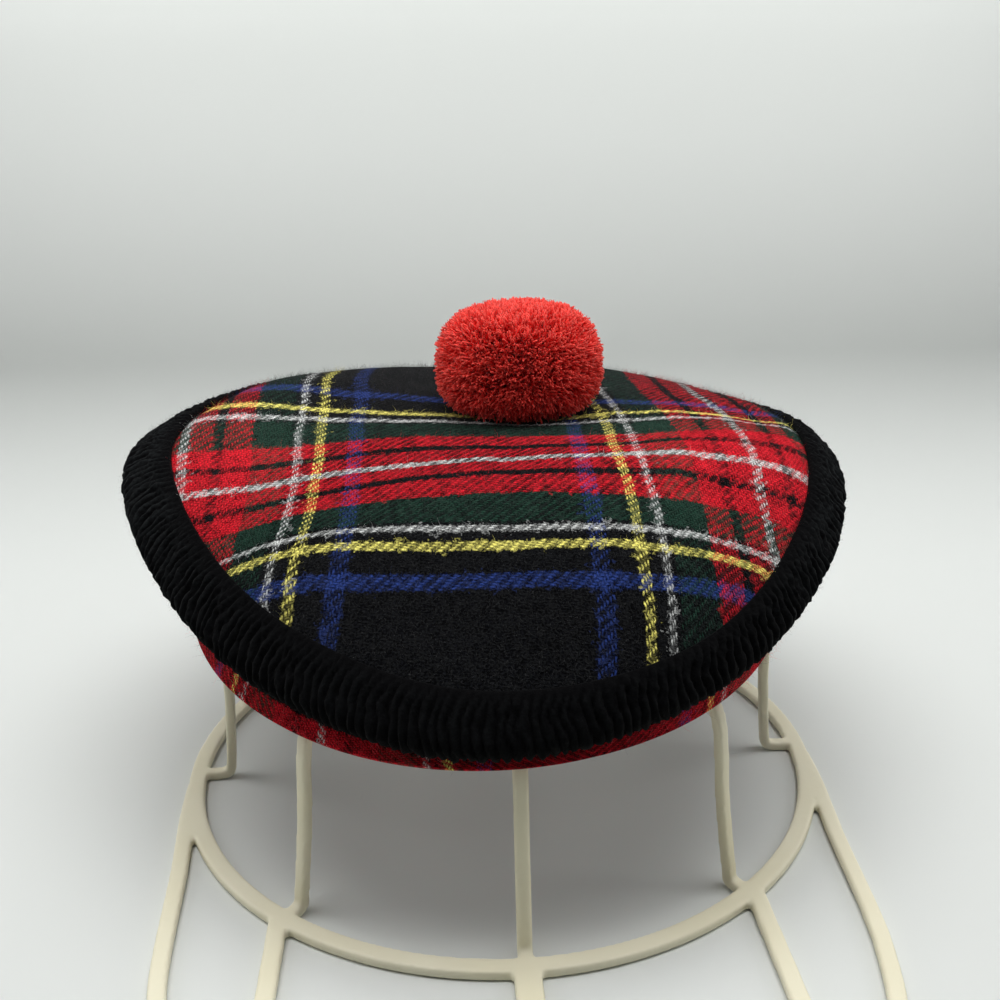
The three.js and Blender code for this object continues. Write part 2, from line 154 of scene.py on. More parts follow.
class Graph:
    """A shader or geometry tree under construction."""

    def __init__(self, tree: bpy.types.NodeTree) -> None:
        """Starts on a node tree."""
        self.tree = tree

    def node(
        self, kind: str, settings: dict | None = None, links: dict | None = None
    ) -> bpy.types.Node:
        """Adds one node.

        Args:
            kind: The node's type name.
            settings: Properties, set first; "stops" sets a colour ramp's stops.
            links: Values, sockets or expressions, by input name or number.

        Returns:
            The new node.
        """
        made = self.tree.nodes.new(kind)
        for key, value in (settings or {}).items():
            if key == "stops":
                self._set_stops(made.color_ramp, value)
            else:
                setattr(made, key, value)
        for key, value in (links or {}).items():
            self._feed(made.inputs[key], value)
        return made

    def _set_stops(self, ramp: bpy.types.ColorRamp, stops: list[tuple[float, tuple]]) -> None:
        """Gives a colour ramp its stops, in order."""
        while len(ramp.elements) > 1:
            ramp.elements.remove(ramp.elements[-1])
        ramp.elements[0].position = stops[0][0]
        ramp.elements[0].color = stops[0][1]
        for place, colour in stops[1:]:
            ramp.elements.new(place).color = colour

    def _feed(self, socket: bpy.types.NodeSocket, value: Link) -> None:
        """Links or sets one input socket."""
        if isinstance(value, Expr):
            value = value.socket
        if isinstance(value, bpy.types.NodeSocket):
            self.tree.links.new(value, socket)
        else:
            socket.default_value = value

    def maths(self, operation: str, *values: "Expr | float") -> Expr:
        """One step of arithmetic on values."""
        links = dict(enumerate(values))
        return Expr(self, self.node("ShaderNodeMath", {"operation": operation}, links).outputs[0])

    def vector(self, operation: str, *values: Link) -> bpy.types.NodeSocket:
        """One step of arithmetic on vectors."""
        made = self.node("ShaderNodeVectorMath", {"operation": operation})
        for index, value in enumerate(values):
            is_scale = operation == "SCALE" and index == 1
            self._feed(made.inputs["Scale" if is_scale else index], value)
        return made.outputs["Value" if operation in ("LENGTH", "DOT_PRODUCT") else "Vector"]

    def joined(self, x: Link, y: Link, z: Link) -> bpy.types.NodeSocket:
        """A vector from three values."""
        return self.node("ShaderNodeCombineXYZ", {}, {0: x, 1: y, 2: z}).outputs[0]

    def split(self, vector: Link) -> tuple[Expr, Expr, Expr]:
        """The three values of a vector."""
        made = self.node("ShaderNodeSeparateXYZ", {}, {0: vector})
        return Expr(self, made.outputs[0]), Expr(self, made.outputs[1]), Expr(self, made.outputs[2])

    def noise(self, vector: Link, scale: float, detail: float = 2.0, roughness: float = 0.5) -> Expr:
        """Soft random values round 0.5."""
        links = {"Vector": vector, "Scale": scale, "Detail": detail, "Roughness": roughness}
        return Expr(self, self.node("ShaderNodeTexNoise", {}, links).outputs[0])

    def mixed(self, share: Link, first: Link, second: Link, blend: str = "MIX") -> bpy.types.NodeSocket:
        """Blends two colours by a share of the second."""
        settings = {"data_type": "RGBA", "blend_type": blend}
        return self.node("ShaderNodeMix", settings, {0: share, 6: first, 7: second}).outputs[2]

    def shaded(self, colour: Link, light: Expr) -> bpy.types.NodeSocket:
        """A colour made lighter or darker by a value."""
        return self.mixed(1.0, colour, self.joined(light, light, light), "MULTIPLY")

    def spot(self) -> bpy.types.NodeSocket:
        """Where a point lies on the object, in metres."""
        return self.node("ShaderNodeTexCoord").outputs["Object"]

    def number(self, name: str) -> Expr:
        """One of the mesh's own numbers, in a shader."""
        return Expr(self, self.node("ShaderNodeAttribute", {"attribute_name": name}).outputs["Fac"])

    def woven_place(self) -> bpy.types.NodeSocket:
        """A point's own place on the weave, in millimetres."""
        read = self.node("ShaderNodeAttribute", {"attribute_name": WEAVE}).outputs["Vector"]
        return self.vector("SCALE", read, 1 / MM)

    def chance(self, low: float, high: float, seed: Expr) -> Expr:
        """A random number for each instance."""
        links = {2: low, 3: high, "Seed": seed}
        return Expr(self, self.node("FunctionNodeRandomValue", {"data_type": "FLOAT"}, links).outputs[1])

    def stored(self, geometry: Link, domain: str, name: str, value: Link) -> bpy.types.NodeSocket:
        """Geometry with a number stored on it."""
        settings = {"data_type": "FLOAT", "domain": domain}
        links = {"Geometry": geometry, "Name": name, "Value": value}
        return self.node("GeometryNodeStoreNamedAttribute", settings, links).outputs[0]


class Finish:
    """What every finish shares: a Principled surface with its own graph."""

    def surface(self, name: str, constants: dict) -> tuple[bpy.types.Material, Graph, bpy.types.Node]:
        """Starts a material.

        Args:
            name: The material's name.
            constants: Values set on the shader's own sockets.

        Returns:
            The material, its graph and its Principled node.
        """
        material = bpy.data.materials.new(name)
        material.use_nodes = True
        material.node_tree.nodes.clear()
        graph = Graph(material.node_tree)
        shader = graph.node("ShaderNodeBsdfPrincipled", {}, constants)
        graph.node("ShaderNodeOutputMaterial", {}, {"Surface": shader.outputs[0]})
        return material, graph, shader

    def wool(
        self, name: str, rough: float, gloss: float, sheen: float, fuzz: float = 0.5
    ) -> tuple[bpy.types.Material, Graph, bpy.types.Node]:
        """Starts a wool's material, with the strength of its sheen and how soft that is."""
        sheens = {"Sheen Weight": sheen, "Sheen Roughness": fuzz}
        return self.surface(name, {"Roughness": rough, "Specular IOR Level": gloss, **sheens})

    def paint(self, graph: Graph, shader: bpy.types.Node, colour: bpy.types.NodeSocket) -> None:
        """Gives the shader its colour."""
        graph.tree.links.new(colour, shader.inputs["Base Color"])

    def raise_by(
        self, graph: Graph, shader: bpy.types.Node, height: Link, depth: float, strength: float
    ) -> None:
        """Feeds a height in 0 to 1 through a Bump node to the shader's normal."""
        links = {"Height": height, "Distance": depth, "Strength": strength}
        bump = graph.node("ShaderNodeBump", {}, links)
        graph.tree.links.new(bump.outputs[0], shader.inputs["Normal"])


class Yarn(Enum):
    """The dyed wools of the tartan."""

    BLACK = srgb(12, 13, 16)
    RED = srgb(204, 27, 41)
    GREEN = srgb(30, 57, 46)
    BLUE = srgb(38, 57, 118)
    YELLOW = srgb(243, 233, 122)
    WHITE = srgb(210, 212, 210)


@dataclass(frozen=True)
class Stripe:
    """One band of threads, up to a distance from the middle of the black square."""

    until: float
    yarn: Yarn


@dataclass(frozen=True)
class TartanWool(Finish):
    """Brushed wool in 2/2 twill, the same sett both ways and mirrored at both its pivots."""

    stripes: tuple[Stripe, ...] = (
        Stripe(29.2, Yarn.BLACK),
        Stripe(33.8, Yarn.BLUE),
        Stripe(40.9, Yarn.BLACK),
        Stripe(43.5, Yarn.YELLOW),
        Stripe(46.9, Yarn.BLACK),
        Stripe(49.5, Yarn.WHITE),
        Stripe(50.8, Yarn.BLACK),
        Stripe(63.0, Yarn.GREEN),
        Stripe(70.6, Yarn.RED),
        Stripe(73.4, Yarn.BLACK),
        Stripe(80.7, Yarn.RED),
        Stripe(82.0, Yarn.WHITE),
    )
    thread: float = 0.74
    slack: float = 0.6
    wander: float = 0.55
    spread: float = 1.0
    reach: float = 2.6
    warp_share: float = 0.27
    nap: float = 0.4
    lightness: float = 1.0
    darkest: float = 0.06
    depth: float = 0.35

    def sett(self, graph: Graph, distance: Expr) -> bpy.types.NodeSocket:
        """The dyed colour of the thread at a distance across the pattern, in mm."""
        half = self.stripes[-1].until
        place = graph.maths("PINGPONG", distance, half) / half
        starts = [0.0] + [stripe.until / half for stripe in self.stripes[:-1]]
        stops = [(start, stripe.yarn.value) for start, stripe in zip(starts, self.stripes)]
        ramp = graph.node("ShaderNodeValToRGB", {"stops": stops}, {0: place})
        ramp.color_ramp.interpolation = "CONSTANT"
        return ramp.outputs[0]

    def curls(self, graph: Graph, spot: Link) -> Expr:
        """Thin curling lines of loose fibre lying on the cloth, 0 to 1."""
        lines = None
        for scale, fine in ((330.0, 26.0), (620.0, 17.0)):
            level = (graph.noise(spot, scale, 2.0, 0.55) - 0.5).size()
            line = (1.0 - fine * level).clamped()
            lines = line if lines is None else graph.maths("MAXIMUM", lines, line)
        return lines

    def strayed(
        self, graph: Graph, place: Link, spot: Link, scale: float, reach: float
    ) -> bpy.types.NodeSocket:
        """A place on the weave, moved about unevenly by up to a reach in mm."""
        clouds = graph.node("ShaderNodeTexNoise", {}, {"Vector": spot, "Scale": scale, "Detail": 2.0})
        drift = graph.vector("SUBTRACT", clouds.outputs[1], HALVES)
        return graph.vector("ADD", place, graph.vector("SCALE", drift, 4.0 * reach))

    def build(self, name: str) -> bpy.types.Material:
        """The woven cloth's material, read from the piece's weave attribute in metres."""
        material, graph, shader = self.wool(name, 0.95, 0.04, 0.02)
        spot = graph.spot()
        place = self.strayed(graph, graph.woven_place(), spot, 170.0, 0.5 * self.wander)
        place = self.strayed(graph, place, spot, 900.0, 0.4 * self.wander)
        across, along, _ = graph.split(place)
        warp_place, weft_place = across / self.thread, along / self.thread
        room = ((warp_place.floor() - weft_place.floor()) % 4.0) < 1.5
        warp_hump = 4.0 * warp_place.fract() * (1.0 - warp_place.fract())
        weft_hump = 4.0 * weft_place.fract() * (1.0 - weft_place.fract())
        weft_float = (0.5 * math.pi * ((warp_place - weft_place.floor()) % 4.0)).sine().size()
        warp_float = (0.5 * math.pi * ((warp_place.floor() - weft_place + 1.0) % 4.0)).sine().size()
        over = room * (warp_hump > self.slack)
        hump = over * warp_hump * warp_float + (1.0 - room) * weft_hump * weft_float
        warp_middle = (warp_place.floor() + 0.5) * self.thread
        weft_middle = (weft_place.floor() + 0.5) * self.thread
        woven = graph.mixed(over, self.sett(graph, weft_middle), self.sett(graph, warp_middle))
        far_across, far_along, _ = graph.split(self.strayed(graph, place, spot, 1500.0, self.spread))
        blended = graph.mixed(self.warp_share, self.sett(graph, far_along), self.sett(graph, far_across))
        patch = graph.noise(spot, 45.0, 3.0, 0.6)
        felt = graph.noise(spot, 700.0, 3.0, 0.7)
        tuft = graph.noise(spot, 360.0, 4.0, 0.75)
        share = self.nap + 2.0 * (felt - 0.5) + 1.4 * (patch - 0.5)
        brushed = graph.mixed(share.clamped(), woven, blended)
        curls = self.curls(graph, spot)
        speck = graph.noise(spot, 3200.0, 1.0, 0.6)
        rough = 2.2 * (tuft - 0.5) + 1.7 * (speck - 0.5) + 0.7 * curls * (felt - 0.25)
        # Painted shade: the threads' humps darken the gaps between threads and the ends of the floats and
        # paint the threads' crowns lighter; patch and rough are the wool's own uneven tone.
        bright = 0.3 + 0.98 * hump + 0.5 * (patch - 0.5) + rough
        tinted = graph.shaded(brushed, self.lightness * graph.maths("MAXIMUM", bright, self.darkest))
        stray_across, stray_along, _ = graph.split(self.strayed(graph, place, spot, 420.0, self.reach))
        pick = graph.noise(spot, 300.0, 0.0) > 0.5
        stray = graph.mixed(pick, self.sett(graph, stray_along), self.sett(graph, stray_across))
        pale = graph.mixed(0.035, stray, srgb(170, 172, 168))
        hairy = graph.mixed(0.42 * curls, tinted, pale)
        self.paint(graph, shader, hairy)
        height = 0.6 * hump + 0.7 * tuft + 0.5 * curls + 0.3 * speck
        self.raise_by(graph, shader, height, self.depth * MM, 0.8)
        return material


@dataclass(frozen=True)
class LooseWool(TartanWool):
    """Loose fibres that stand out of the tartan, each in the colour of the thread it grew from."""

    lightness: float = 1.1
    bleach: float = 0.03

    def build(self, name: str) -> bpy.types.Material:
        """The fibres' material."""
        material, graph, shader = self.wool(name, 0.8, 0.2, 0.2)
        across, along, _ = graph.split(graph.woven_place())
        pick = graph.number(SHADE)
        colour = graph.mixed(pick > 0.5, self.sett(graph, across), self.sett(graph, along))
        pale = graph.mixed(self.bleach, colour, srgb(200, 196, 190))
        self.paint(graph, shader, graph.shaded(pale, self.lightness * (0.55 + 0.9 * pick)))
        return material


@dataclass(frozen=True)
class BlackKnit(Finish):
    """Black knitted wool, with a painted bluish highlight on its ribs, painted shade between them, and
    painted shade deepening towards the front of the hat.
    """

    # dark is the knit's black, deepened as painted shade in the rib valleys and at the front; pale is a
    # painted bluish highlight on the rib crests.
    dark: tuple = srgb(1, 1, 2)
    pale: tuple = srgb(25, 28, 29)
    # Painted shade: the knit is fully dark this far in front of the axis, and the shade fades out over the
    # next distance.
    front_shade_until: float = 0.04
    front_shade_fade: float = 0.05

    def build(self, name: str) -> bpy.types.Material:
        """The knit's material."""
        material, graph, shader = self.wool(name, 0.9, 0.06, 0.01)
        spot = graph.spot()
        fibres = graph.noise(spot, 900.0, 3.0, 0.65)
        patch = graph.noise(spot, 60.0, 2.0, 0.5)
        ridge = graph.number(RIDGE)
        _, along, _ = graph.split(spot)
        # Painted shade towards the front of the hat: the ribs' paler colour falls to a quarter there.
        front_shade = 0.25 + 0.75 * ((along + self.front_shade_until) / self.front_shade_fade).clamped()
        # Painted highlight on the rib crests and painted shade in the valleys, with fibre noise for the
        # wool's own uneven tone.
        ridge_highlight_and_fibres = 0.8 * ridge * ridge * (0.2 + patch) + (fibres - 0.5) * 1.8 * (0.3 + ridge)
        self.paint(graph, shader, graph.mixed(front_shade * ridge_highlight_and_fibres.clamped(), self.dark, self.pale))
        self.raise_by(graph, shader, fibres, 0.35 * MM, 0.8)
        return material


@dataclass(frozen=True)
class CutYarn(Finish):
    """Red wool yarn ends, with painted shade towards their roots among the strands and a painted highlight at
    the tips.
    """

    # root is the yarn darkened as painted shade deep among the strands; tip is the yarn lightened as a
    # painted highlight where the ends catch the light; body is the yarn's red.
    root: tuple = srgb(140, 4, 6)
    body: tuple = srgb(248, 27, 28)
    tip: tuple = srgb(255, 84, 72)

    def build(self, name: str) -> bpy.types.Material:
        """The yarn's material, read from each strand's shade and the way along it."""
        material, graph, shader = self.wool(name, 0.85, 0.2, 0.25, 0.4)
        # Painted shade from the root to the middle of each strand, painted highlight at the tip.
        stops = [(0.0, self.root), (0.35, self.root), (0.72, self.body), (1.0, self.tip)]
        ramp = graph.node("ShaderNodeValToRGB", {"stops": stops}, {0: graph.number(ALONG)})
        self.paint(graph, shader, graph.shaded(ramp.outputs[0], 0.78 + 0.22 * graph.number(SHADE)))
        self.raise_by(graph, shader, graph.noise(graph.spot(), 2200.0, 2.0, 0.6), 0.2 * MM, 0.5)
        return material


@dataclass(frozen=True)
class IvoryPlastic(Finish):
    """Satin moulded plastic, a little uneven and yellowed."""

    pale: tuple = srgb(231, 226, 202)
    warm: tuple = srgb(219, 212, 180)

    def build(self, name: str) -> bpy.types.Material:
        """The plastic's material."""
        material, graph, shader = self.surface(name, {"IOR": 1.49})
        spot = graph.spot()
        cloud = graph.noise(spot, 22.0, 3.0, 0.5)
        grain = graph.noise(spot, 900.0, 2.0, 0.5)
        share = (1.6 * (cloud - 0.3)).clamped()
        self.paint(graph, shader, graph.mixed(share, self.pale, self.warm))
        graph.tree.links.new((0.36 + 0.16 * grain + 0.08 * cloud).socket, shader.inputs["Roughness"])
        waves = 0.3 * grain + 0.7 * graph.noise(spot, 130.0, 2.0, 0.5)
        self.raise_by(graph, shader, waves, 0.25 * MM, 0.25)
        return material


@dataclass(frozen=True)
class PalePaper(Finish):
    """The plain pale sweep behind and under everything."""

    colour: tuple = srgb(213, 216, 213)

    def build(self, name: str) -> bpy.types.Material:
        """The sweep's material."""
        return self.surface(name, {"Base Color": self.colour, "Roughness": 0.7, "Specular IOR Level": 0.2})[0]


@dataclass(frozen=True)
class RimRow:
    """One place on the rim, as shares of the hat's sizes."""

    turn: float
    reach: float
    level: float
    pitch: float
    spread: float
    hollow: float
    bag: float


RIM_ROWS = (
    RimRow(-180, 1.004, 0.8, 22, 1.0, 0.0, 0.55),
    RimRow(-150, 0.943, 0.49, 44, 1.06, 0.01, -0.1),
    RimRow(-120, 0.95, 0.262, 45, 1.0, 0.015, -0.15),
    RimRow(-90, 0.995, 0.15, 43, 0.94, 0.0, 0.0),
    RimRow(-60, 0.982, 0.24, 56, 0.76, -0.01, 0.0),
    RimRow(-30, 0.97, 0.475, 53, 0.88, 0.0, 0.3),
    RimRow(0, 0.987, 0.705, 42, 1.0, 0.0, 1.0),
    RimRow(30, 0.97, 0.685, 40, 1.0, 0.0, 1.0),
    RimRow(60, 0.972, 0.7, 38, 1.0, 0.01, 1.0),
    RimRow(90, 0.964, 0.65, 42, 1.0, 0.0, 1.0),
    RimRow(120, 0.978, 0.74, 36, 1.0, 0.0, 1.0),
    RimRow(150, 0.99, 0.79, 37, 1.0, -0.01, 1.0),
)


def stand_axis() -> np.ndarray:
    """Where the stand's upright axis meets the table, in metres."""
    low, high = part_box("base_ring")
    return np.array([(low.x + high.x) / 2, (low.y + high.y) / 2, 0.0])


def mesh_object(name: str, points: np.ndarray, faces: list) -> bpy.types.Object:
    """Makes a smooth mesh object at the origin.

    Args:
        name: The object's name.
        points: Its corners, in millimetres from the stand's axis on the table.
        faces: Lists of corner numbers.

    Returns:
        The new object, linked to the scene.
    """
    mesh = bpy.data.meshes.new(name)
    mesh.from_pydata((points * MM + stand_axis()).tolist(), [], faces)
    mesh.polygons.foreach_set("use_smooth", [True] * len(mesh.polygons))
    mesh.update()
    made = bpy.data.objects.new(name, mesh)
    bpy.context.scene.collection.objects.link(made)
    return made


def loop_faces(loops: int, count: int) -> list[tuple[int, int, int, int]]:
    """Faces of a skin between closed loops of points, one loop after another."""
    faces = []
    for i in range(loops - 1):
        for j in range(count):
            k = (j + 1) % count
            faces.append((i * count + j, (i + 1) * count + j, (i + 1) * count + k, i * count + k))
    return faces


def set_vectors(target: bpy.types.Object, name: str, values: np.ndarray) -> None:
    """Stores a vector for each corner point of a mesh."""
    layer = target.data.attributes.new(name, "FLOAT_VECTOR", "POINT")
    layer.data.foreach_set("vector", values.astype(np.float32).ravel())


def set_values(target: bpy.types.Object, name: str, values: np.ndarray) -> None:
    """Stores a number for each corner point of a mesh."""
    layer = target.data.attributes.new(name, "FLOAT", "POINT")
    layer.data.foreach_set("value", values.astype(np.float32).ravel())


def baked(source: bpy.types.Object, name: str) -> bpy.types.Object:
    """Turns an object with live modifiers into a plain mesh object and deletes the source."""
    graph = bpy.context.evaluated_depsgraph_get()
    graph.update()
    mesh = bpy.data.meshes.new_from_object(
        source.evaluated_get(graph), preserve_all_data_layers=True, depsgraph=graph
    )
    mesh.name = name
    made = bpy.data.objects.new(name, mesh)
    bpy.context.scene.collection.objects.link(made)
    source.modifiers.clear()
    bpy.data.objects.remove(source)
    return made


def run_tree(
    source: bpy.types.Object, tree: bpy.types.NodeTree, sizes: dict, name: str
) -> bpy.types.Object:
    """Runs a geometry tree on an object.

    Args:
        source: The object it grows on, which is used up.
        tree: The geometry tree.
        sizes: Values of the tree's named inputs.
        name: The name of the piece that comes out.

    Returns:
        A plain mesh object.
    """
    modifier = source.modifiers.new("growth", "NODES")
    modifier.node_group = tree
    inputs = [s for s in tree.interface.items_tree if s.item_type == "SOCKET" and s.in_out == "INPUT"]
    sockets = {socket.name: socket.identifier for socket in inputs}
    for label, value in sizes.items():
        modifier[sockets[label]] = value
    return baked(source, name)


def start_tree(name: str, inputs: dict[str, float | int]) -> tuple[Graph, bpy.types.Node]:
    """Starts a geometry tree with named inputs.

    Args:
        name: The tree's name.
        inputs: Label and first value of each size; a whole number makes a whole-number input.

    Returns:
        The graph and its Group Input node.
    """
    tree = bpy.data.node_groups.new(name, "GeometryNodeTree")
    tree.is_modifier = True
    tree.interface.new_socket("Geometry", in_out="INPUT", socket_type="NodeSocketGeometry")
    tree.interface.new_socket("Geometry", in_out="OUTPUT", socket_type="NodeSocketGeometry")
    for label, value in inputs.items():
        kind = "NodeSocketInt" if isinstance(value, int) else "NodeSocketFloat"
        tree.interface.new_socket(label, in_out="INPUT", socket_type=kind).default_value = value
    graph = Graph(tree)
    return graph, graph.node("NodeGroupInput")


def end_tree(
    graph: Graph, geometry: bpy.types.NodeSocket, material: bpy.types.Material
) -> bpy.types.NodeTree:
    """Ends a geometry tree with real faces in one material."""
    real = graph.node("GeometryNodeRealizeInstances", {}, {0: geometry})
    shaded = graph.node("GeometryNodeSetShadeSmooth", {}, {0: real.outputs[0]})
    links = {"Geometry": shaded.outputs[0], "Material": material}
    dressed = graph.node("GeometryNodeSetMaterial", {}, links)
    graph.node("NodeGroupOutput", {}, {0: dressed.outputs[0]})
    return graph.tree


def strand_tree(name: str, material: bpy.types.Material, sides: int, steps: int) -> bpy.types.NodeTree:
    """A tree that grows short bent strands of wool all over a surface.

    Args:
        name: The tree's name.
        material: The strands' finish.
        sides: Sides of a strand; 2 makes a flat fibre.
        steps: Bends along a strand.

    Returns:
        The tree, with its sizes as named inputs in metres.
    """
    inputs = {"Density": 1000.0, "Length": 0.003, "Width": 0.0001, "Tip": 0.3, "Lean": 0.5}
    inputs.update({"Bend": 0.3, "Uneven": 0.4, "Clump": 0.0, "Lowest": -2.0, "Seed": 1})
    graph, sizes = start_tree(name, inputs)
    size = {label: Expr(graph, sizes.outputs[label]) for label in inputs}
    seed = size["Seed"]
    facing_up = graph.split(graph.node("GeometryNodeInputNormal").outputs[0])[2] > size["Lowest"]
    links = {"Mesh": sizes.outputs[0], "Selection": facing_up, "Density": size["Density"], "Seed": seed}
    spread = graph.node("GeometryNodeDistributePointsOnFaces", {}, links)
    if sides == 2:
        links = {"Size X": 1.0, "Size Y": 1.0, "Vertices X": 2, "Vertices Y": steps + 1}
        blank = graph.node("GeometryNodeMeshGrid", {}, links)
        upright = {"Rotation": (math.pi / 2, 0, 0), "Translation": (0, 0, 0.5)}
    else:
        links = {"Vertices": sides, "Side Segments": steps, "Depth": 1.0}
        links.update({"Radius Top": 0.5, "Radius Bottom": 0.5})
        blank = graph.node("GeometryNodeMeshCone", {"fill_type": "TRIANGLE_FAN"}, links)
        upright = {}
    stood = graph.node("GeometryNodeTransform", {}, {0: blank.outputs[0], **upright})
    x, y, z = graph.split(graph.node("GeometryNodeInputPosition").outputs[0])
    z = z.clamped()
    slim = size["Width"] * (1.0 - (1.0 - size["Tip"]) * z)
    bent = size["Bend"] * size["Length"] * z * z
    shape = graph.joined(x * slim + bent, y * slim, z * size["Length"])
    # The way along each strand; the red yarn's material paints shade at its root and a highlight at its tip.
    marked = graph.stored(stood.outputs[0], "POINT", ALONG, z)
    strand = graph.node("GeometryNodeSetPosition", {}, {"Geometry": marked, "Position": shape})
    links = {"Min": (-1.0, -1.0, -1.0), "Max": (1.0, 1.0, 1.0), "Seed": seed}
    tilt = graph.node("FunctionNodeRandomValue", {"data_type": "FLOAT_VECTOR"}, links)
    lean = graph.vector("SCALE", tilt.outputs[0], size["Lean"])
    leaning = graph.vector("ADD", spread.outputs["Normal"], lean)
    tuft = graph.node("ShaderNodeTexNoise", {}, {"Scale": 230.0, "Detail": 1.0}).outputs[1]
    pull = graph.vector("SCALE", graph.vector("SUBTRACT", tuft, HALVES), 6.0 * size["Clump"])
    leaning = graph.vector("ADD", leaning, pull)
    aim = graph.node("FunctionNodeAlignRotationToVector", {"axis": "Z"}, {"Vector": leaning})
    turn = graph.joined(0.0, 0.0, graph.chance(0.0, 2 * math.pi, seed + 3.0))
    spin = graph.node("FunctionNodeEulerToRotation", {}, {0: turn})
    links = {0: aim.outputs[0], 1: spin.outputs[0]}
    facing = graph.node("FunctionNodeRotateRotation", {"rotation_space": "LOCAL"}, links)
    stretch = 1.0 + size["Uneven"] * (2.0 * graph.chance(0.0, 1.0, seed + 5.0) - 1.0)
    links = {"Points": spread.outputs["Points"], "Instance": strand.outputs[0]}
    links.update({"Rotation": facing.outputs[0], "Scale": graph.joined(1.0, 1.0, stretch)})
    placed = graph.node("GeometryNodeInstanceOnPoints", {}, links)
    shaded = graph.stored(placed.outputs[0], "INSTANCE", SHADE, graph.chance(0.0, 1.0, seed + 7.0))
    return end_tree(graph, shaded, material)


def rib_tree(material: bpy.types.Material) -> bpy.types.NodeTree:
    """A tree that raises knitted ribs across the band, from its round and across attributes."""
    inputs = {"Ribs": 300, "Height": 0.0008, "Bow": 1.0, "Uneven": 0.3}
    graph, sizes = start_tree("knitted ribs", inputs)
    size = {label: Expr(graph, sizes.outputs[label]) for label in inputs}
    read = {}
    for label in (ROUND, ACROSS):
        made = graph.node("GeometryNodeInputNamedAttribute", {"data_type": "FLOAT"}, {"Name": label})
        read[label] = Expr(graph, made.outputs[0])
    uneven = size["Uneven"]
    place = graph.node("GeometryNodeInputPosition").outputs[0]
    wander = graph.noise(place, 75.0, 2.0, 0.6) - 0.5
    lumps = graph.noise(place, 420.0, 2.0, 0.5)
    arch = (math.pi * read[ACROSS]).sine()
    shiver = graph.noise(place, 240.0, 2.0, 0.6) - 0.5
    phase = read[ROUND] * size["Ribs"] + size["Bow"] * arch + uneven * (5.0 * wander + 2.2 * shiver)
    ridge = (math.pi * phase).sine().size() ** 0.6
    grow = (5.0 * read[ACROSS]).clamped()
    inside = (read[ACROSS] > -0.5) * (read[ACROSS] < 1.5)
    relief = (0.15 + 0.85 * grow) * ridge * (0.4 + 1.2 * lumps) + uneven * (lumps - 0.5)
    rise = inside * size["Height"] * relief
    offset = graph.vector("SCALE", graph.node("GeometryNodeInputNormal").outputs[0], rise)
    raised = graph.node("GeometryNodeSetPosition", {}, {"Geometry": sizes.outputs[0], "Offset": offset})
    # Stores each point's height on its rib, which the black knit's material turns into a painted highlight on
    # the crests and painted shade between them.
    marked = graph.stored(raised.outputs[0], "POINT", RIDGE, inside * grow * ridge)
    return end_tree(graph, marked, material)


@dataclass(frozen=True)
class View:
    """The photograph's pinhole, in mm from the stand's axis on the table, over a square of pixels."""

    eye: tuple[float, float, float] = (1.3, -321.7, 207.4)
    pitch: float = 20.0
    roll: float = -1.09
    focal: float = 1130.0
    pixels: float = 1000.0

    def axes(self) -> np.ndarray:
        """Its directions to the right, to the top and ahead, one a row."""
        pitch, roll = math.radians(self.pitch), math.radians(self.roll)
        ahead = np.array([0.0, math.cos(pitch), -math.sin(pitch)])
        level = np.array([1.0, 0.0, 0.0])
        above = np.cross(level, ahead)
        right = level * math.cos(roll) + above * math.sin(roll)
        top = above * math.cos(roll) - level * math.sin(roll)
        return np.array([right, top, ahead])

    def rays(self, seen: np.ndarray) -> np.ndarray:
        """Ways out through columns and rows of pixels, each 1 long straight ahead."""
        slopes = (seen - self.pixels / 2) / self.focal * [1.0, -1.0]
        return np.column_stack([slopes, np.ones(len(seen))]) @ self.axes()


def line_places(table: dict[float, tuple], columns: tuple, at: np.ndarray) -> tuple[np.ndarray, np.ndarray]:
    """Where each line of a table lies at given columns, on smooth curves.

    Args:
        table: For each line's distance in the sett, its place at each column.
        columns: The columns.
        at: Where the places are wanted.

    Returns:
        The distances, and their places, one row for each line.
    """
    keys = np.array(sorted(table))
    stops = np.array(columns, float)
    at = np.clip(at, stops[0], stops[-1])
    index = np.clip(np.searchsorted(stops, at) - 1, 0, len(stops) - 2)
    width = stops[index + 1] - stops[index]
    t = (at - stops[index]) / width
    rows = []
    for key in keys:
        row = np.array(table[key], float)
        slope = np.gradient(row, stops)
        a, b = row[index], row[index + 1]
        m, n = slope[index] * width, slope[index + 1] * width
        rows.append(a + m * t + (3 * (b - a) - 2 * m - n) * t**2 + (2 * (a - b) + m + n) * t**3)
    return keys, np.array(rows)


def between(keys: np.ndarray, rows: np.ndarray, value: np.ndarray) -> np.ndarray:
    """Distance in the sett at each value, between the rows of places and on beyond them."""
    index = np.clip((rows < value[None]).sum(0), 1, len(keys) - 1)
    each = np.arange(len(value))
    low, high = rows[index - 1, each], rows[index, each]
    return keys[index - 1] + (value - low) / (high - low) * (keys[index] - keys[index - 1])


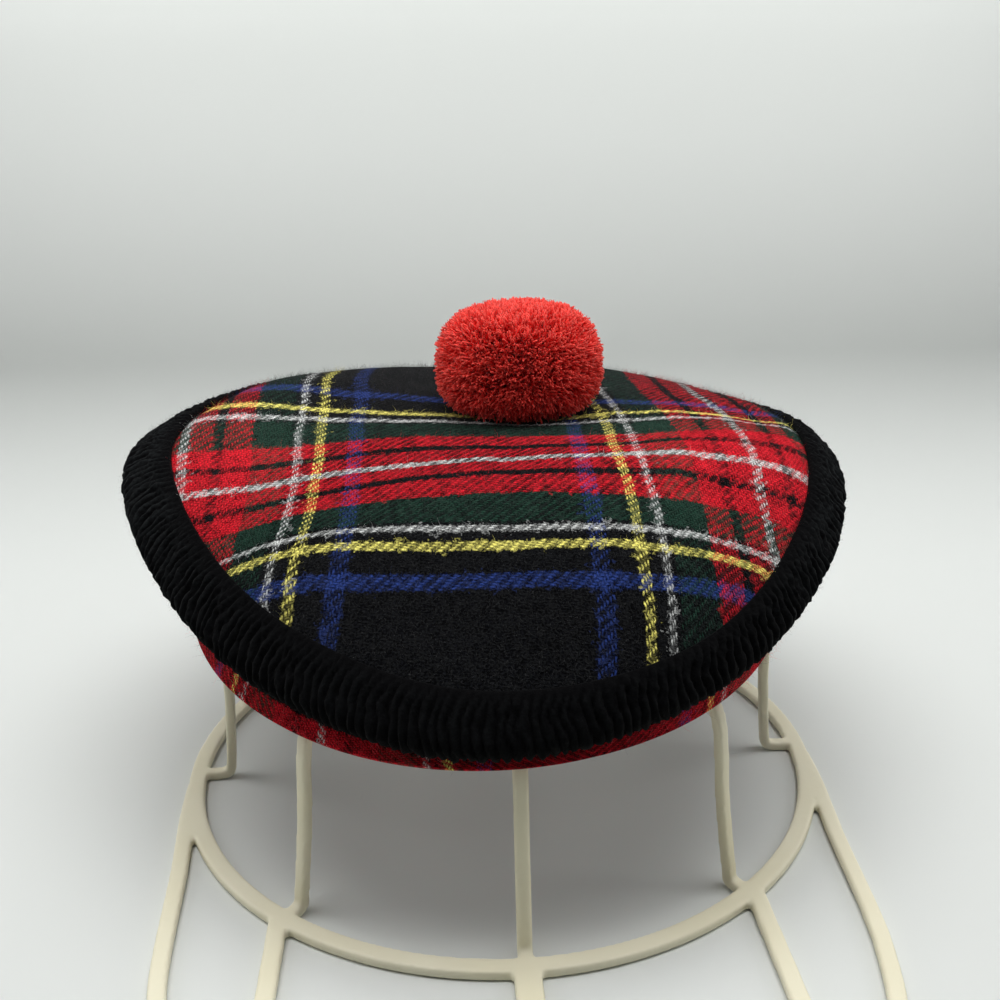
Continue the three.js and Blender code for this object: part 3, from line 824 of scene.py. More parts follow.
@dataclass(frozen=True)
class PulledWeave:
    """How the tartan lies on the crown, stretched and turned a little over its shape."""

    front_to_back: tuple = (-90, -70, -50, -30, -10, 10, 30, 55, 85, 120)
    warp_lines: dict = field(
        default_factory=lambda: {
            -164: (-183.8, -183.2, -182.8, -182.4, -182.2, -181.8, -181.0, -179.2, -175.8, -170.8),
            -82: (-97.7, -96.1, -93.9, -91.3, -92.3, -95.7, -98.7, -98.9, -95.1, -89.3),
            -63: (-77.9, -76.5, -74.3, -69.9, -70.9, -73.7, -76.3, -78.7, -76.5, -71.5),
            -48.2: (-62.3, -60.9, -60.3, -56.3, -57.1, -59.3, -60.7, -63.1, -61.7, -57.5),
            -42.2: (-55.9, -54.7, -53.7, -50.5, -50.9, -52.5, -54.1, -56.9, -55.5, -51.7),
            -31.5: (-44.1, -42.7, -40.5, -39.5, -40.1, -41.7, -42.1, -44.9, -44.7, -41.5),
            0: (-8.7, -7.1, -6.7, -7.1, -7.7, -8.7, -9.7, -11.7, -12.9, -11.7),
            31.5: (25.1, 26.9, 26.1, 24.9, 23.5, 23.1, 21.1, 18.7, 17.5, 18.1),
            42.2: (35.9, 38.3, 37.3, 36.1, 33.9, 33.1, 30.9, 28.5, 27.5, 28.3),
            48.2: (41.7, 43.7, 43.3, 41.9, 40.3, 38.7, 36.3, 34.1, 33.1, 33.9),
            63: (56.3, 57.5, 56.3, 55.7, 55.3, 52.1, 49.1, 47.5, 46.9, 47.9),
            72: (65.1, 66.1, 64.9, 63.1, 63.7, 60.3, 56.9, 55.5, 55.3, 56.3),
            82: (75.1, 75.7, 75.3, 73.5, 74.5, 69.9, 66.1, 64.9, 64.7, 65.7),
            92: (84.9, 85.5, 85.3, 83.5, 84.3, 80.3, 75.7, 74.3, 74.1, 74.9),
            164: (154.8, 154.6, 154.2, 153.2, 152.0, 150.4, 148.6, 146.6, 145.0, 144.6),
        }
    )
    left_to_right: tuple = (-110, -95, -80, -65, -50, -30, -10, 10, 30, 50, 65, 80, 95, 110)
    weft_lines: dict = field(
        default_factory=lambda: {
            0: (-72.7, -74, -75.8, -78.1, -80.8, -83.7, -85.3, -85.9, -85.5, -82.8, -79.5, -76, -72.9,
            -69.8),
            31.5: (-47.5, -49.2, -50, -51.5, -53.3, -56.2, -58.3, -59.7, -61, -59.5, -56, -52.9, -49.6,
            -45.5),
            42.2: (-39.3, -41.8, -42.8, -43.8, -43.8, -46.3, -48.8, -50.6, -51.9, -51.7, -49.6, -46.1,
            -42.2, -37),
            48.2: (-34.7, -37.6, -39.5, -40.7, -40.1, -41.6, -43.8, -46.1, -47.5, -47.3, -46.3, -42.4,
            -37.8, -32.3),
            63: (-23, -27.1, -32.3, -34.5, -32.9, -31.7, -32.7, -34.1, -36.6, -37, -36.4, -32.7, -26.1,
            -19.3),
            72: (-15.3, -19.9, -25.9, -28.8, -27.1, -24.4, -24.8, -26.3, -26.7, -26.3, -27.7, -24.2,
            -18.4, -10.2),
            82: (-6.1, -11.2, -17, -20.7, -19.9, -17.6, -18.2, -19.7, -18.6, -15.1, -15.6, -13.3, -8.5,
            0.3),
            92: (4.1, -1.7, -8.3, -11.4, -11.4, -8.9, -10.8, -13.5, -12.3, -7.3, -5.4, -3.2, 3.4, 9.4),
            101: (14.8, 8.2, 3.2, -0.5, -2.1, -1.1, -2.8, -6.3, -5.2, -2.1, 0.1, 3, 10.2, 16.4),
            115.8: (38.3, 31.7, 24.9, 20.2, 15.4, 11.5, 9, 3.8, 6.7, 7.8, 7.8, 8, 18.5, 27),
            121.8: (49.9, 43.1, 35, 28.8, 23.2, 18.7, 15.6, 9.6, 12.7, 13.8, 10.9, 10, 22.2, 31.5),
            132.5: (66.6, 63.5, 52.6, 46.6, 39.3, 35, 30.9, 25.7, 27.4, 23.2, 19.1, 15.8, 30.3, 40.2),
            164: (102.5, 100, 96.3, 91.6, 86.4, 80.2, 74.8, 70.1, 65.6, 60.6, 57.9, 59.4, 65.3, 72.2),
            220: (159.9, 157.8, 155.3, 152.6, 150, 146.2, 142.7, 139.4, 136.5, 134.9, 134.5, 135.1,
            136.8, 139),
        }
    )

    def place(self, points: np.ndarray) -> np.ndarray:
        """The weave's own place, in metres, of points in millimetres from the stand's axis."""
        keys, rows = line_places(self.warp_lines, self.front_to_back, points[:, 1])
        across = between(keys, rows, points[:, 0])
        keys, rows = line_places(self.weft_lines, self.left_to_right, points[:, 0])
        along = between(keys, rows, points[:, 1])
        return np.stack([across, along, np.zeros(len(points))], 1) * MM


@dataclass
class RimFrames:
    """The binding's own directions at many places round the hat."""

    turn: np.ndarray
    pitch: np.ndarray
    width: np.ndarray
    radial: np.ndarray
    out: np.ndarray
    up: np.ndarray
    inner: np.ndarray

    def at(self, along: np.ndarray | float, depth: float) -> np.ndarray:
        """Points at a way along the binding's width and a depth into it."""
        reach = np.broadcast_to(along, self.turn.shape)[:, None]
        return self.inner + self.out * reach - self.up * depth


@dataclass
class Hat:
    """The tam o shanter: crown, folded binding, underside and pompom."""

    crown_radius: float = 112.0
    crown_offset: float = -3.0
    crown_setback: float = 18.0
    crown_height: float = 60.0
    crown_flatness: float = 2.4
    dimple_depth: float = 2.0
    dimple_radius: float = 20.0
    opening_height: float = 52.5
    opening_radius: float = 88.2
    opening_setback: float = 1.0
    opening_tilt: float = 9.0
    cloth: float = 1.6
    binding_width: float = 16.0
    binding_thickness: float = 7.0
    seam_depth: float = 6.0
    bag_swell: float = 7.0
    strip_pivot: float = -73.0
    strip_repeat: float = 164.0
    strip_edge: float = 64.5
    gap: float = 0.3
    pompom_width: float = 52.0
    pompom_height: float = 32.2
    pompom_lift: float = 1.5
    pompom_offset: float = 8.0
    pompom_setback: float = 25.0
    pompom_fullness: float = 3.7
    pompom_squareness: float = 2.5
    pompom_low: float = 0.33
    rib_count: int = 252
    rib_points: int = 8
    cloth_turns: int = 300

    def turns(self, count: int) -> np.ndarray:
        """Even turns all round the hat, in degrees."""
        return np.arange(count) * 360 / count - 180

    @property
    def binding_wall(self) -> float:
        """Thickness of the band on each side of the cloths."""
        return (self.binding_thickness - 2 * self.cloth - 3 * self.gap) / 2

    @property
    def crown_depth(self) -> float:
        """Depth of the crown cloth's middle below the band's top."""
        return self.binding_wall + self.gap + self.cloth / 2

    def value(self, column: str, turn: np.ndarray) -> np.ndarray:
        """One column of the rim's rows at any turn, on a smooth closed curve."""
        rows = np.array([getattr(row, column) for row in RIM_ROWS], float)
        place = (turn - RIM_ROWS[0].turn) / (360 / len(rows))
        index = np.floor(place).astype(int)
        t = place - index
        a, b, c, d = (rows[(index + k) % len(rows)] for k in (-1, 0, 1, 2))
        return b + 0.5 * t * (c - a + t * (2 * a - 5 * b + 4 * c - d + t * (3 * (b - c) + d - a)))

    def frames(self, turn: np.ndarray) -> RimFrames:
        """The binding's directions at given turns, in degrees."""
        pitch = np.radians(self.value("pitch", turn))
        width = self.binding_width * self.value("spread", turn)
        reach = self.crown_radius * self.value("reach", turn)
        level = self.opening_height + self.crown_height * self.value("level", turn)
        angle = np.radians(turn)
        radial = np.stack([np.cos(angle), np.sin(angle), np.zeros_like(angle)], 1)
        rise = np.array([0.0, 0.0, 1.0])
        out = radial * np.cos(pitch)[:, None] - rise * np.sin(pitch)[:, None]
        up = radial * np.sin(pitch)[:, None] + rise * np.cos(pitch)[:, None]
        middle = np.ones((len(angle), 1)) * [self.crown_offset, self.crown_setback, 0.0]
        start = middle + level[:, None] * rise
        inner = start + radial * reach[:, None] - out * width[:, None]
        return RimFrames(turn, pitch, width, radial, out, up, inner)

    def crown_points(self, rim: RimFrames, share: float | np.ndarray) -> np.ndarray:
        """The middle of the crown's cloth, at a share of the way to the binding."""
        edge = rim.at(0.0, self.crown_depth)
        reach = np.hypot(edge[:, 0] - self.crown_offset, edge[:, 1] - self.crown_setback)
        top = self.opening_height + self.crown_height
        drop = top - edge[:, 2]
        edge_power = 9.0
        flat = self.crown_flatness
        roll = (flat * drop - reach * np.tan(rim.pitch)) / (edge_power - flat)
        dome = share**flat
        fall = drop * dome + roll * (dome - share**edge_power)
        hollow = self.crown_height * self.value("hollow", rim.turn) * np.sin(math.pi * share) ** 2
        x = self.crown_offset + rim.radial[:, 0] * reach * share
        y = self.crown_setback + rim.radial[:, 1] * reach * share
        away = np.hypot(x - self.pompom_offset, y - self.pompom_setback) / self.dimple_radius
        return np.stack([x, y, top - fall - hollow - self.dimple_depth * np.exp(-away * away)], 1)

    def crown_at(self, x: np.ndarray, y: np.ndarray) -> tuple[np.ndarray, np.ndarray]:
        """Over points of the plan, the way out to the crown's edge and the height of its middle."""
        turn = np.degrees(np.arctan2(y - self.crown_setback, x - self.crown_offset))
        rim = self.frames(turn)
        edge = rim.at(0.0, self.crown_depth)
        reach = np.hypot(edge[:, 0] - self.crown_offset, edge[:, 1] - self.crown_setback)
        share = np.hypot(x - self.crown_offset, y - self.crown_setback) / reach
        return share, self.crown_points(rim, share)[:, 2]

    def crown_floor(self, points: np.ndarray, gap: float) -> np.ndarray:
        """Height of a gap above the crown's outer side, below or above each point."""
        return self.crown_at(points[:, 0], points[:, 1])[1] + self.cloth / 2 + gap

    def cloth_mesh(self, name: str, rings: np.ndarray, centre: bool) -> tuple[np.ndarray, list, np.ndarray]:
        """A cloth of one thickness over rings of points.

        Args:
            name: What the cloth is, for the log.
            rings: Middle points, one row for each ring.
            centre: Whether the first ring is closed by a point in its middle.

        Returns:
            Points, faces, and how many of the points are on the outer side.
        """
        along = np.gradient(rings, axis=0)
        around = np.roll(rings, -1, 1) - np.roll(rings, 1, 1)
        normal = np.cross(along, around)
        normal /= np.linalg.norm(normal, axis=2)[:, :, None]
        rows, count = rings.shape[:2]
        sides = [rings + normal * self.cloth / 2, rings - normal * self.cloth / 2]
        points = np.concatenate([side.reshape(-1, 3) for side in sides])
        size = rows * count
        faces = []
        for j in range(count):
            k = (j + 1) % count
            for i in range(rows - 1):
                a, b = i * count, (i + 1) * count
                faces.append((a + j, b + j, b + k, a + k))
                faces.append((size + a + k, size + b + k, size + b + j, size + a + j))
            last = size - count
            faces.append((last + j, size + last + j, size + last + k, last + k))
            if not centre:
                faces.append((j, k, size + k, size + j))
        if centre:
            middle = rings[0].mean(0)
            points = np.vstack([points, middle + [0, 0, self.cloth / 2], middle - [0, 0, self.cloth / 2]])
            for j in range(count):
                k = (j + 1) % count
                faces.append((2 * size, j, k))
                faces.append((2 * size + 1, size + k, size + j))
        log.info("%s: %d points", name, len(points))
        return points, faces, size

    def ripples(self, rings: np.ndarray, height: float) -> np.ndarray:
        """Moves cloth up and down a little, in soft uneven swells, without opening it."""
        x, y = rings[..., 0], rings[..., 1]
        swell = np.sin(x / 9.0 + 1.3 * np.sin(y / 13.0)) * np.sin(y / 11.0 + 0.9 * np.sin(x / 17.0) + 1.0)
        swell += 0.6 * np.sin(x / 4.7 + y / 6.1 + 0.7) * np.sin(y / 5.3 - x / 7.9)
        moved = rings.copy()
        moved[..., 2] += height * swell
        return moved

    def crown_cloth(
        self, material: bpy.types.Material, weave: PulledWeave
    ) -> tuple[bpy.types.Object, bpy.types.Object]:
        """The crown and, to grow fibres on, a copy of its outer side."""
        rim = self.frames(self.turns(self.cloth_turns))
        shares = np.concatenate([np.linspace(0.02, 0.7, 30), np.linspace(0.715, 1.0, 22)])
        plain = np.array([self.crown_points(rim, float(share)) for share in shares])
        fade = np.clip((1 - shares) / 0.08, 0, 1)[:, None, None]
        rings = plain + (self.ripples(plain, 0.22) - plain) * fade
        tuck = [rim.at(along, self.crown_depth) for along in (1.5, 3.0, 4.5, self.seam_depth)]
        points, faces, _ = self.cloth_mesh("crown", np.concatenate([rings, tuck]), True)
        made = mesh_object("crown_cloth", points, faces)
        made.data.materials.append(material)
        places = weave.place(points)
        set_vectors(made, WEAVE, places)
        shown = len(shares) * self.cloth_turns
        skin = mesh_object("crown_skin", points[:shown], [f for f in faces if max(f) < shown])
        set_vectors(skin, WEAVE, places[:shown])
        return made, skin

    def band(self, material: bpy.types.Material) -> bpy.types.Object:
        """The folded binding, with a rib of knitting at every few stations."""
        count = self.rib_count * self.rib_points
        rim = self.frames(self.turns(count))
        half = self.binding_thickness / 2
        slot = self.seam_depth + self.gap
        wall = self.binding_wall
        outline = [rim.at(0.25, -0.1)]
        across = [0.0]
        flat_steps, round_steps = 9, 10
        for i in range(1, flat_steps + 1):
            share = i / flat_steps
            swell = 0.5 * wall * math.sin(math.pi * share * 0.9)
            outline.append(rim.at((rim.width - half) * share, -swell * (1 - share) - 0.15 * swell))
            across.append(0.62 * share)
        for i in range(1, round_steps + 1):
            angle = math.pi * i / round_steps
            outline.append(rim.at(rim.width - half + half * math.sin(angle), half - half * math.cos(angle)))
            across.append(0.62 + 0.38 * i / round_steps)
        for i in range(1, 5):
            outline.append(rim.at((rim.width - half) * (1 - i / 5), self.binding_thickness))
            across.append(1.0)
        outline.append(rim.at(0.25, self.binding_thickness))
        outline.append(rim.at(0.0, self.binding_thickness - 0.3))
        outline.append(rim.at(0.0, self.binding_thickness - wall + 0.3))
        outline.append(rim.at(0.3, self.binding_thickness - wall))
        outline.append(rim.at(slot, self.binding_thickness - wall))
        outline.append(rim.at(slot, wall))
        outline.append(rim.at(0.3, wall))
        outline.append(rim.at(0.0, wall - 0.3))
        outline.append(rim.at(0.0, 0.2))
        across += [1.0] + [-1.0] * 8
        points = np.array(outline).transpose(1, 0, 2).reshape(-1, 3)
        rows = len(outline)
        faces = []
        for j in range(count):
            here, following = j * rows, ((j + 1) % count) * rows
            for i in range(rows):
                k = (i + 1) % rows
                faces.append((here + i, here + k, following + k, following + i))
        made = mesh_object("band_blank", points, faces)
        set_values(made, ROUND, np.repeat(np.arange(count) / count, rows))
        set_values(made, ACROSS, np.tile(np.array(across), count))
        sizes = {"Ribs": self.rib_count, "Height": 1.5 * MM, "Bow": 1.3, "Uneven": 0.5}
        return run_tree(made, rib_tree(material), sizes, "binding_band")

    def band_skin(self) -> bpy.types.Object:
        """A plain copy of the band's outer side, to grow fibres on."""
        count = 240
        rim = self.frames(self.turns(count))
        half = self.binding_thickness / 2
        rows = [rim.at(0.3, -0.3), rim.at(rim.width / 2, -0.9)]
        for i in range(7):
            angle = math.pi * i / 6
            round_off = half + 0.4
            along = rim.width - half + round_off * math.sin(angle)
            rows.append(rim.at(along, half - round_off * math.cos(angle)))
        return mesh_object("band_skin", np.array(rows).reshape(-1, 3), loop_faces(len(rows), count))

    def section_curve(self, stops: list[np.ndarray], steps: int) -> list[np.ndarray]:
        """Smooth curves through stops, one curve for each place round the hat."""
        rows = []
        last = len(stops) - 1
        for step in range(steps + 1):
            place = last * step / steps
            index = min(int(place), last - 1)
            t = place - index
            p1, p2 = stops[index], stops[index + 1]
            p0 = stops[index - 1] if index > 0 else 2 * p1 - p2
            p3 = stops[index + 2] if index + 2 <= last else 2 * p2 - p1
            spans = (p1 - p0, p2 - p1, p3 - p2)
            d0, d1, d2 = (np.sqrt(np.linalg.norm(span, axis=1))[:, None] + 1e-9 for span in spans)
            t1 = ((p1 - p0) / d0 - (p2 - p0) / (d0 + d1) + (p2 - p1) / d1) * d1
            t2 = ((p2 - p1) / d1 - (p3 - p1) / (d1 + d2) + (p3 - p2) / d2) * d1
            square = 3 * (p2 - p1) - 2 * t1 - t2
            rows.append(p1 + t1 * t + square * t**2 + (2 * (p1 - p2) + t1 + t2) * t**3)
        return rows

    def underside_cloth(self, material: bpy.types.Material) -> tuple[bpy.types.Object, bpy.types.Object]:
        """The underside and, to grow fibres on, a copy of its outer side."""
        count = self.cloth_turns
        rim = self.frames(self.turns(count))
        clear = self.cloth / 2 + 2 * self.gap
        depth = self.binding_thickness - self.crown_depth
        lip = rim.at(-clear, self.binding_thickness + 2 * clear)
        back = self.opening_setback + self.opening_radius * rim.radial[:, 1]
        climb = self.opening_radius * math.tan(math.radians(self.opening_tilt))
        level = self.opening_height + climb * (1 + rim.radial[:, 1])
        edge = np.stack([self.crown_offset + self.opening_radius * rim.radial[:, 0], back, level], 1)
        swell = (self.bag_swell * self.value("bag", rim.turn))[:, None] * rim.radial
        stops = [rim.at(0.0, depth), rim.at(-1.9, self.binding_thickness - 0.7), lip]
        for share, bulge in ((0.3, 0.75), (0.62, 1.0), (0.88, 0.5)):
            stops.append(lip + (edge - lip) * share + swell * bulge)
        stops.append(edge)
        tuck = [rim.at(self.seam_depth, depth), rim.at(self.seam_depth / 2, depth)]
        rings = np.array(tuck + self.section_curve(stops, 34))
        points, faces, size = self.cloth_mesh("underside", rings, False)
        lengths = np.linalg.norm(np.diff(rings, axis=0), axis=2).mean(1)
        flat = self.opening_radius + np.concatenate([np.cumsum(lengths[::-1])[::-1], [0.0]])
        away = np.abs((rim.turn - self.strip_pivot + 180) % 360 - 180)
        around = np.broadcast_to(4 * self.strip_repeat / 360 * away, (len(flat), count))
        down = np.broadcast_to(self.strip_edge + (flat - self.opening_radius)[:, None], (len(flat), count))
        place = np.stack([around, down, np.zeros((len(flat), count))], 2)
        weave = np.concatenate([place.reshape(-1, 3)] * 2) * MM
        made = mesh_object("underside_cloth", points, faces)
        made.data.materials.append(material)
        set_vectors(made, WEAVE, weave)
        skin_faces = [f for f in faces if max(f) < size and min(f) >= 5 * count]
        skin = mesh_object("underside_skin", points[:size], skin_faces)
        set_vectors(skin, WEAVE, weave[:size])
        return made, skin

    def pompom_core(self, inset: float, name: str) -> bpy.types.Object:
        """The pompom's head, a flattened ball that many strands grow from."""
        rows, count = 26, 48
        middle = np.array([self.pompom_offset, self.pompom_setback, 0.0])
        low = self.crown_floor(middle[None], self.gap)[0]
        middle[2] = low + self.pompom_lift + self.pompom_low * self.pompom_height
        points = []
        for i in range(rows + 1):
            for j in range(count):
                fall, turn = math.pi * i / rows, 2 * math.pi * j / count
                reach = math.sin(fall)
                points.append((reach * math.cos(turn), reach * math.sin(turn), math.cos(fall)))
        out = np.array(points)
        top = (1 - self.pompom_low) * self.pompom_height - inset
        deep = self.pompom_low * self.pompom_height - 0.4 * inset
        full = np.where(out[:, 2] > 0, self.pompom_fullness, self.pompom_squareness)
        flat = np.hypot(out[:, 0], out[:, 1]) / (self.pompom_width / 2 - inset)
        rise = np.abs(out[:, 2]) / np.where(out[:, 2] > 0, top, deep)
        reach = (flat**full + rise**full) ** (-1 / full)
        points = middle + out * reach[:, None]
        points[:, 2] = np.maximum(points[:, 2], self.crown_floor(points, self.gap))
        made = mesh_object(name, points, loop_faces(rows + 1, count))
        merged(made, 1e-6)
        return made

    def kept_above(self, piece: bpy.types.Object) -> None:
        """Lifts whatever of a piece would lie inside the crown's cloth onto it."""
        axis = stand_axis()
        corners = np.empty(3 * len(piece.data.vertices))
        piece.data.vertices.foreach_get("co", corners)
        points = (corners.reshape(-1, 3) - axis) / MM
        above = points[:, 2] - self.crown_floor(points, 0.15)
        points[:, 2] += np.where(above < 0, 0.03 * np.abs(above) - above, 0.0)
        piece.data.vertices.foreach_set("co", (points * MM + axis).ravel())
        piece.data.update()


def merged(target: bpy.types.Object, distance: float) -> None:
    """Joins a mesh's corners that lie together and turns its faces outwards."""
    shape = bmesh.new()
    shape.from_mesh(target.data)
    bmesh.ops.remove_doubles(shape, verts=shape.verts, dist=distance)
    bmesh.ops.recalc_face_normals(shape, faces=shape.faces)
    shape.to_mesh(target.data)
    shape.free()


@dataclass(frozen=True)
class BrimRow:
    """One place on the brim frame's side, as shares of its half width and reach."""

    out: float
    forward: float


BRIM_ROWS = (
    BrimRow(1.036, 0.06),
    BrimRow(1.027, 0.165),
    BrimRow(1.012, 0.25),
    BrimRow(1.0, 0.32),
    BrimRow(0.989, 0.42),
    BrimRow(0.978, 0.51),
    BrimRow(0.962, 0.585),
    BrimRow(0.9, 0.726),
    BrimRow(0.75, 0.863),
    BrimRow(0.43, 0.964),
)


@dataclass
class Stand:
    """The open moulded stand: ring, upright ribs, hub and brim frame."""

    ring_inner: float = 95.0
    ring_width: float = 5.0
    bar: float = 3.0
    rib_width: float = 4.0
    post_height: float = 51.0
    post_foot: float = 91.0
    post_side: float = 87.0
    post_top: float = 84.0
    hub_radius: float = 11.0
    dome_power: float = 1.75
    dome_round: float = 0.95
    turn: float = 3.4
    brim_reach: float = 168.0
    brim_half: float = 94.2
    brim_bar: float = 4.7
    brim_spread: float = 64.0
    brim_middle_rib: float = 7.0
    brim_side_rib: float = 5.0
    grain: float = 0.7
    rib_turns: tuple = (-178, -130, -90, -50, -2, 45, 90, 135)

    def profile(self, across: float, deep: float, corner: float) -> np.ndarray:
        """A bar's section with round corners."""
        points = []
        for quarter in range(4):
            for step in range(4):
                angle = math.pi / 2 * (quarter + step / 3)
                x = math.copysign(across / 2 - corner, math.cos(math.pi / 4 + quarter * math.pi / 2))
                y = math.copysign(deep / 2 - corner, math.sin(math.pi / 4 + quarter * math.pi / 2))
                points.append((x + corner * math.cos(angle), y + corner * math.sin(angle)))
        return np.array(points)

    def sweep(
        self, path: np.ndarray, side: np.ndarray, section: np.ndarray, closed: bool
    ) -> tuple[np.ndarray, list]:
        """Sweeps a section along a path.

        Args:
            path: The path's points.
            side: For each point, the direction of the section's width.
            section: The section's points.
            closed: Whether the path is a loop.

        Returns:
            Points and faces.
        """
        if closed:
            ahead = np.roll(path, -1, 0) - np.roll(path, 1, 0)
        else:
            ahead = np.gradient(path, axis=0)
        ahead /= np.linalg.norm(ahead, axis=1)[:, None]
        up = np.cross(ahead, side)
        up /= np.linalg.norm(up, axis=1)[:, None]
        points = path[:, None] + side[:, None] * section[None, :, :1] + up[:, None] * section[None, :, 1:]
        rows, count = len(path), len(section)
        faces = []
        for i in range(rows if closed else rows - 1):
            here, following = i * count, ((i + 1) % rows) * count
            for j in range(count):
                k = (j + 1) % count
                faces.append((here + j, here + k, following + k, following + j))
        if not closed:
            faces.append(tuple(reversed(range(count))))
            faces.append(tuple((rows - 1) * count + j for j in range(count)))
        return points.reshape(-1, 3), faces

    def smooth_path(self, stops: np.ndarray, steps: int) -> np.ndarray:
        """A smooth curve through stops."""
        rows = Hat().section_curve([stop[None] for stop in stops], steps)
        return np.concatenate(rows)

    def dome(self, radius: float, top: float) -> float:
        """Height of a rib's middle over its distance from the axis."""
        share = min(1.0, radius / self.post_top)
        return self.post_height + (top - self.post_height) * (1 - share**self.dome_power) ** self.dome_round

    def rib(self, turn: float, top: float) -> tuple[np.ndarray, list]:
        """One upright rib with its foot."""
        half = self.bar / 2
        foot = self.post_foot + (self.post_side - self.post_foot) * abs(math.cos(math.radians(turn))) ** 4
        level = 1.5 * self.hub_radius
        stops = [(self.ring_inner + 2, half), (foot + 3, half), (foot + 0.6, half + 0.9), (foot, half + 4)]
        stops.append(((foot + self.post_top) / 2, self.post_height / 2))
        for share in (1, 0.955, 0.88, 0.76, 0.6, 0.4):
            stops.append((self.post_top * share, self.dome(self.post_top * share, top)))
        stops += [(level, top), (self.hub_radius - 2, top)]
        path = self.smooth_path(np.array([(x, 0.0, z) for x, z in stops]), 110)
        side = np.tile([0.0, 1.0, 0.0], (len(path), 1))
        points, faces = self.sweep(path, side, self.profile(self.rib_width, self.bar, 0.8), False)
        return self.turned(points, turn), faces

    def turned(self, points: np.ndarray, turn: float) -> np.ndarray:
        """Points turned about the stand's axis, in degrees."""
        c, s = math.cos(math.radians(turn)), math.sin(math.radians(turn))
        return points @ np.array([[c, s, 0], [-s, c, 0], [0, 0, 1]])

    def ring(self) -> tuple[np.ndarray, list]:
        """The ring on the table."""
        angle = np.arange(180) * math.pi / 90
        radial = np.stack([np.cos(angle), np.sin(angle), np.zeros(180)], 1)
        path = radial * (self.ring_inner + self.ring_width / 2) + [0, 0, self.bar / 2]
        return self.sweep(path, radial, self.profile(self.ring_width + 0.3, self.bar, 0.6), True)

    def hub(self, top: float) -> tuple[np.ndarray, list]:
        """The disc in which the ribs meet."""
        count = 60
        angle = np.arange(count) * 2 * math.pi / count
        circle = np.stack([np.cos(angle), np.sin(angle)], 1) * self.hub_radius
        levels = (top - self.bar / 2, top + self.bar / 2)
        disc = np.concatenate([np.column_stack([circle, np.full(count, z)]) for z in levels])
        sides = [(j, (j + 1) % count, count + (j + 1) % count, count + j) for j in range(count)]
        return disc, sides + [tuple(reversed(range(count))), tuple(range(count, 2 * count))]

    def brim_path(self) -> np.ndarray:
        """The middle of the brim frame's outer bar."""
        level = self.bar / 2
        left = [(-self.brim_half * row.out, -self.brim_reach * row.forward, level) for row in BRIM_ROWS]
        right = [(-x, y, z) for x, y, z in reversed(left)]
        return self.smooth_path(np.array(left + [(0.0, -self.brim_reach, level)] + right), 160)

    def flat_bar(self, path: np.ndarray, width: float) -> tuple[np.ndarray, list]:
        """A bar that lies on the table along a path."""
        ahead = np.gradient(path, axis=0)
        side = np.cross(ahead, [0.0, 0.0, 1.0])
        side /= np.linalg.norm(side, axis=1)[:, None]
        return self.sweep(path, side, self.profile(width, self.bar, 0.6), False)

    def build(self, material: bpy.types.Material, top: float) -> bpy.types.Object:
        """All bars run together as one moulding.

        Args:
            material: The plastic.
            top: Height of the middle of the hub.

        Returns:
            The moulding.
        """
        parts = [self.rib(turn, top) for turn in self.rib_turns]
        parts.append(self.ring())
        rim = self.brim_path()
        parts.append(self.flat_bar(rim, self.brim_bar))
        for across in (-self.brim_spread, 0.0, self.brim_spread):
            too_far_back = rim[:, 1] > -self.brim_reach * 0.6
            front = rim[np.argmin(np.abs(rim[:, 0] - across) + 1000 * too_far_back)][1]
            back = -math.sqrt((self.ring_inner + self.ring_width / 2) ** 2 - across**2)
            path = np.array([(across, y, self.bar / 2) for y in np.linspace(back, front, 20)])
            parts.append(self.flat_bar(path, self.brim_side_rib if across else self.brim_middle_rib))
        parts.append(self.hub(top))
        points, faces, start = [], [], 0
        for corners, quads in parts:
            points.append(self.turned(corners, self.turn))
            faces += [tuple(start + k for k in quad) for quad in quads]
            start += len(corners)
        made = mesh_object("moulding_blank", np.concatenate(points), faces)
        made.data.materials.append(material)
        grid = made.modifiers.new("one skin", "REMESH")
        grid.mode = "VOXEL"
        grid.voxel_size = self.grain * MM
        grid.use_smooth_shade = True
        ease = made.modifiers.new("eased", "SMOOTH")
        ease.factor = 0.5
        ease.iterations = 3
        made = baked(made, "stand_moulding")
        corners = np.array([v.co for v in made.data.vertices])
        corners[:, 2] = np.maximum(corners[:, 2], 0.0)
        made.data.vertices.foreach_set("co", corners.ravel())
        made.data.update()
        return made


@dataclass(frozen=True)
class Softbox:
    """One flat lamp with a soft edge."""

    name: str
    place: tuple[float, float, float]
    aim: tuple[float, float, float]
    width: float
    depth: float
    power: float
    spread: float = 180.0

    def build(self) -> None:
        """Hangs the lamp."""
        light = bpy.data.lights.new(self.name, "AREA")
        light.shape = "RECTANGLE"
        light.size, light.size_y = self.width, self.depth
        light.energy = self.power
        light.spread = math.radians(self.spread)
        lamp = bpy.data.objects.new(self.name, light)
        lamp.location = self.place
        direction = Vector(self.aim) - Vector(self.place)
        lamp.rotation_euler = direction.to_track_quat("-Z", "Y").to_euler()
        bpy.context.scene.collection.objects.link(lamp)


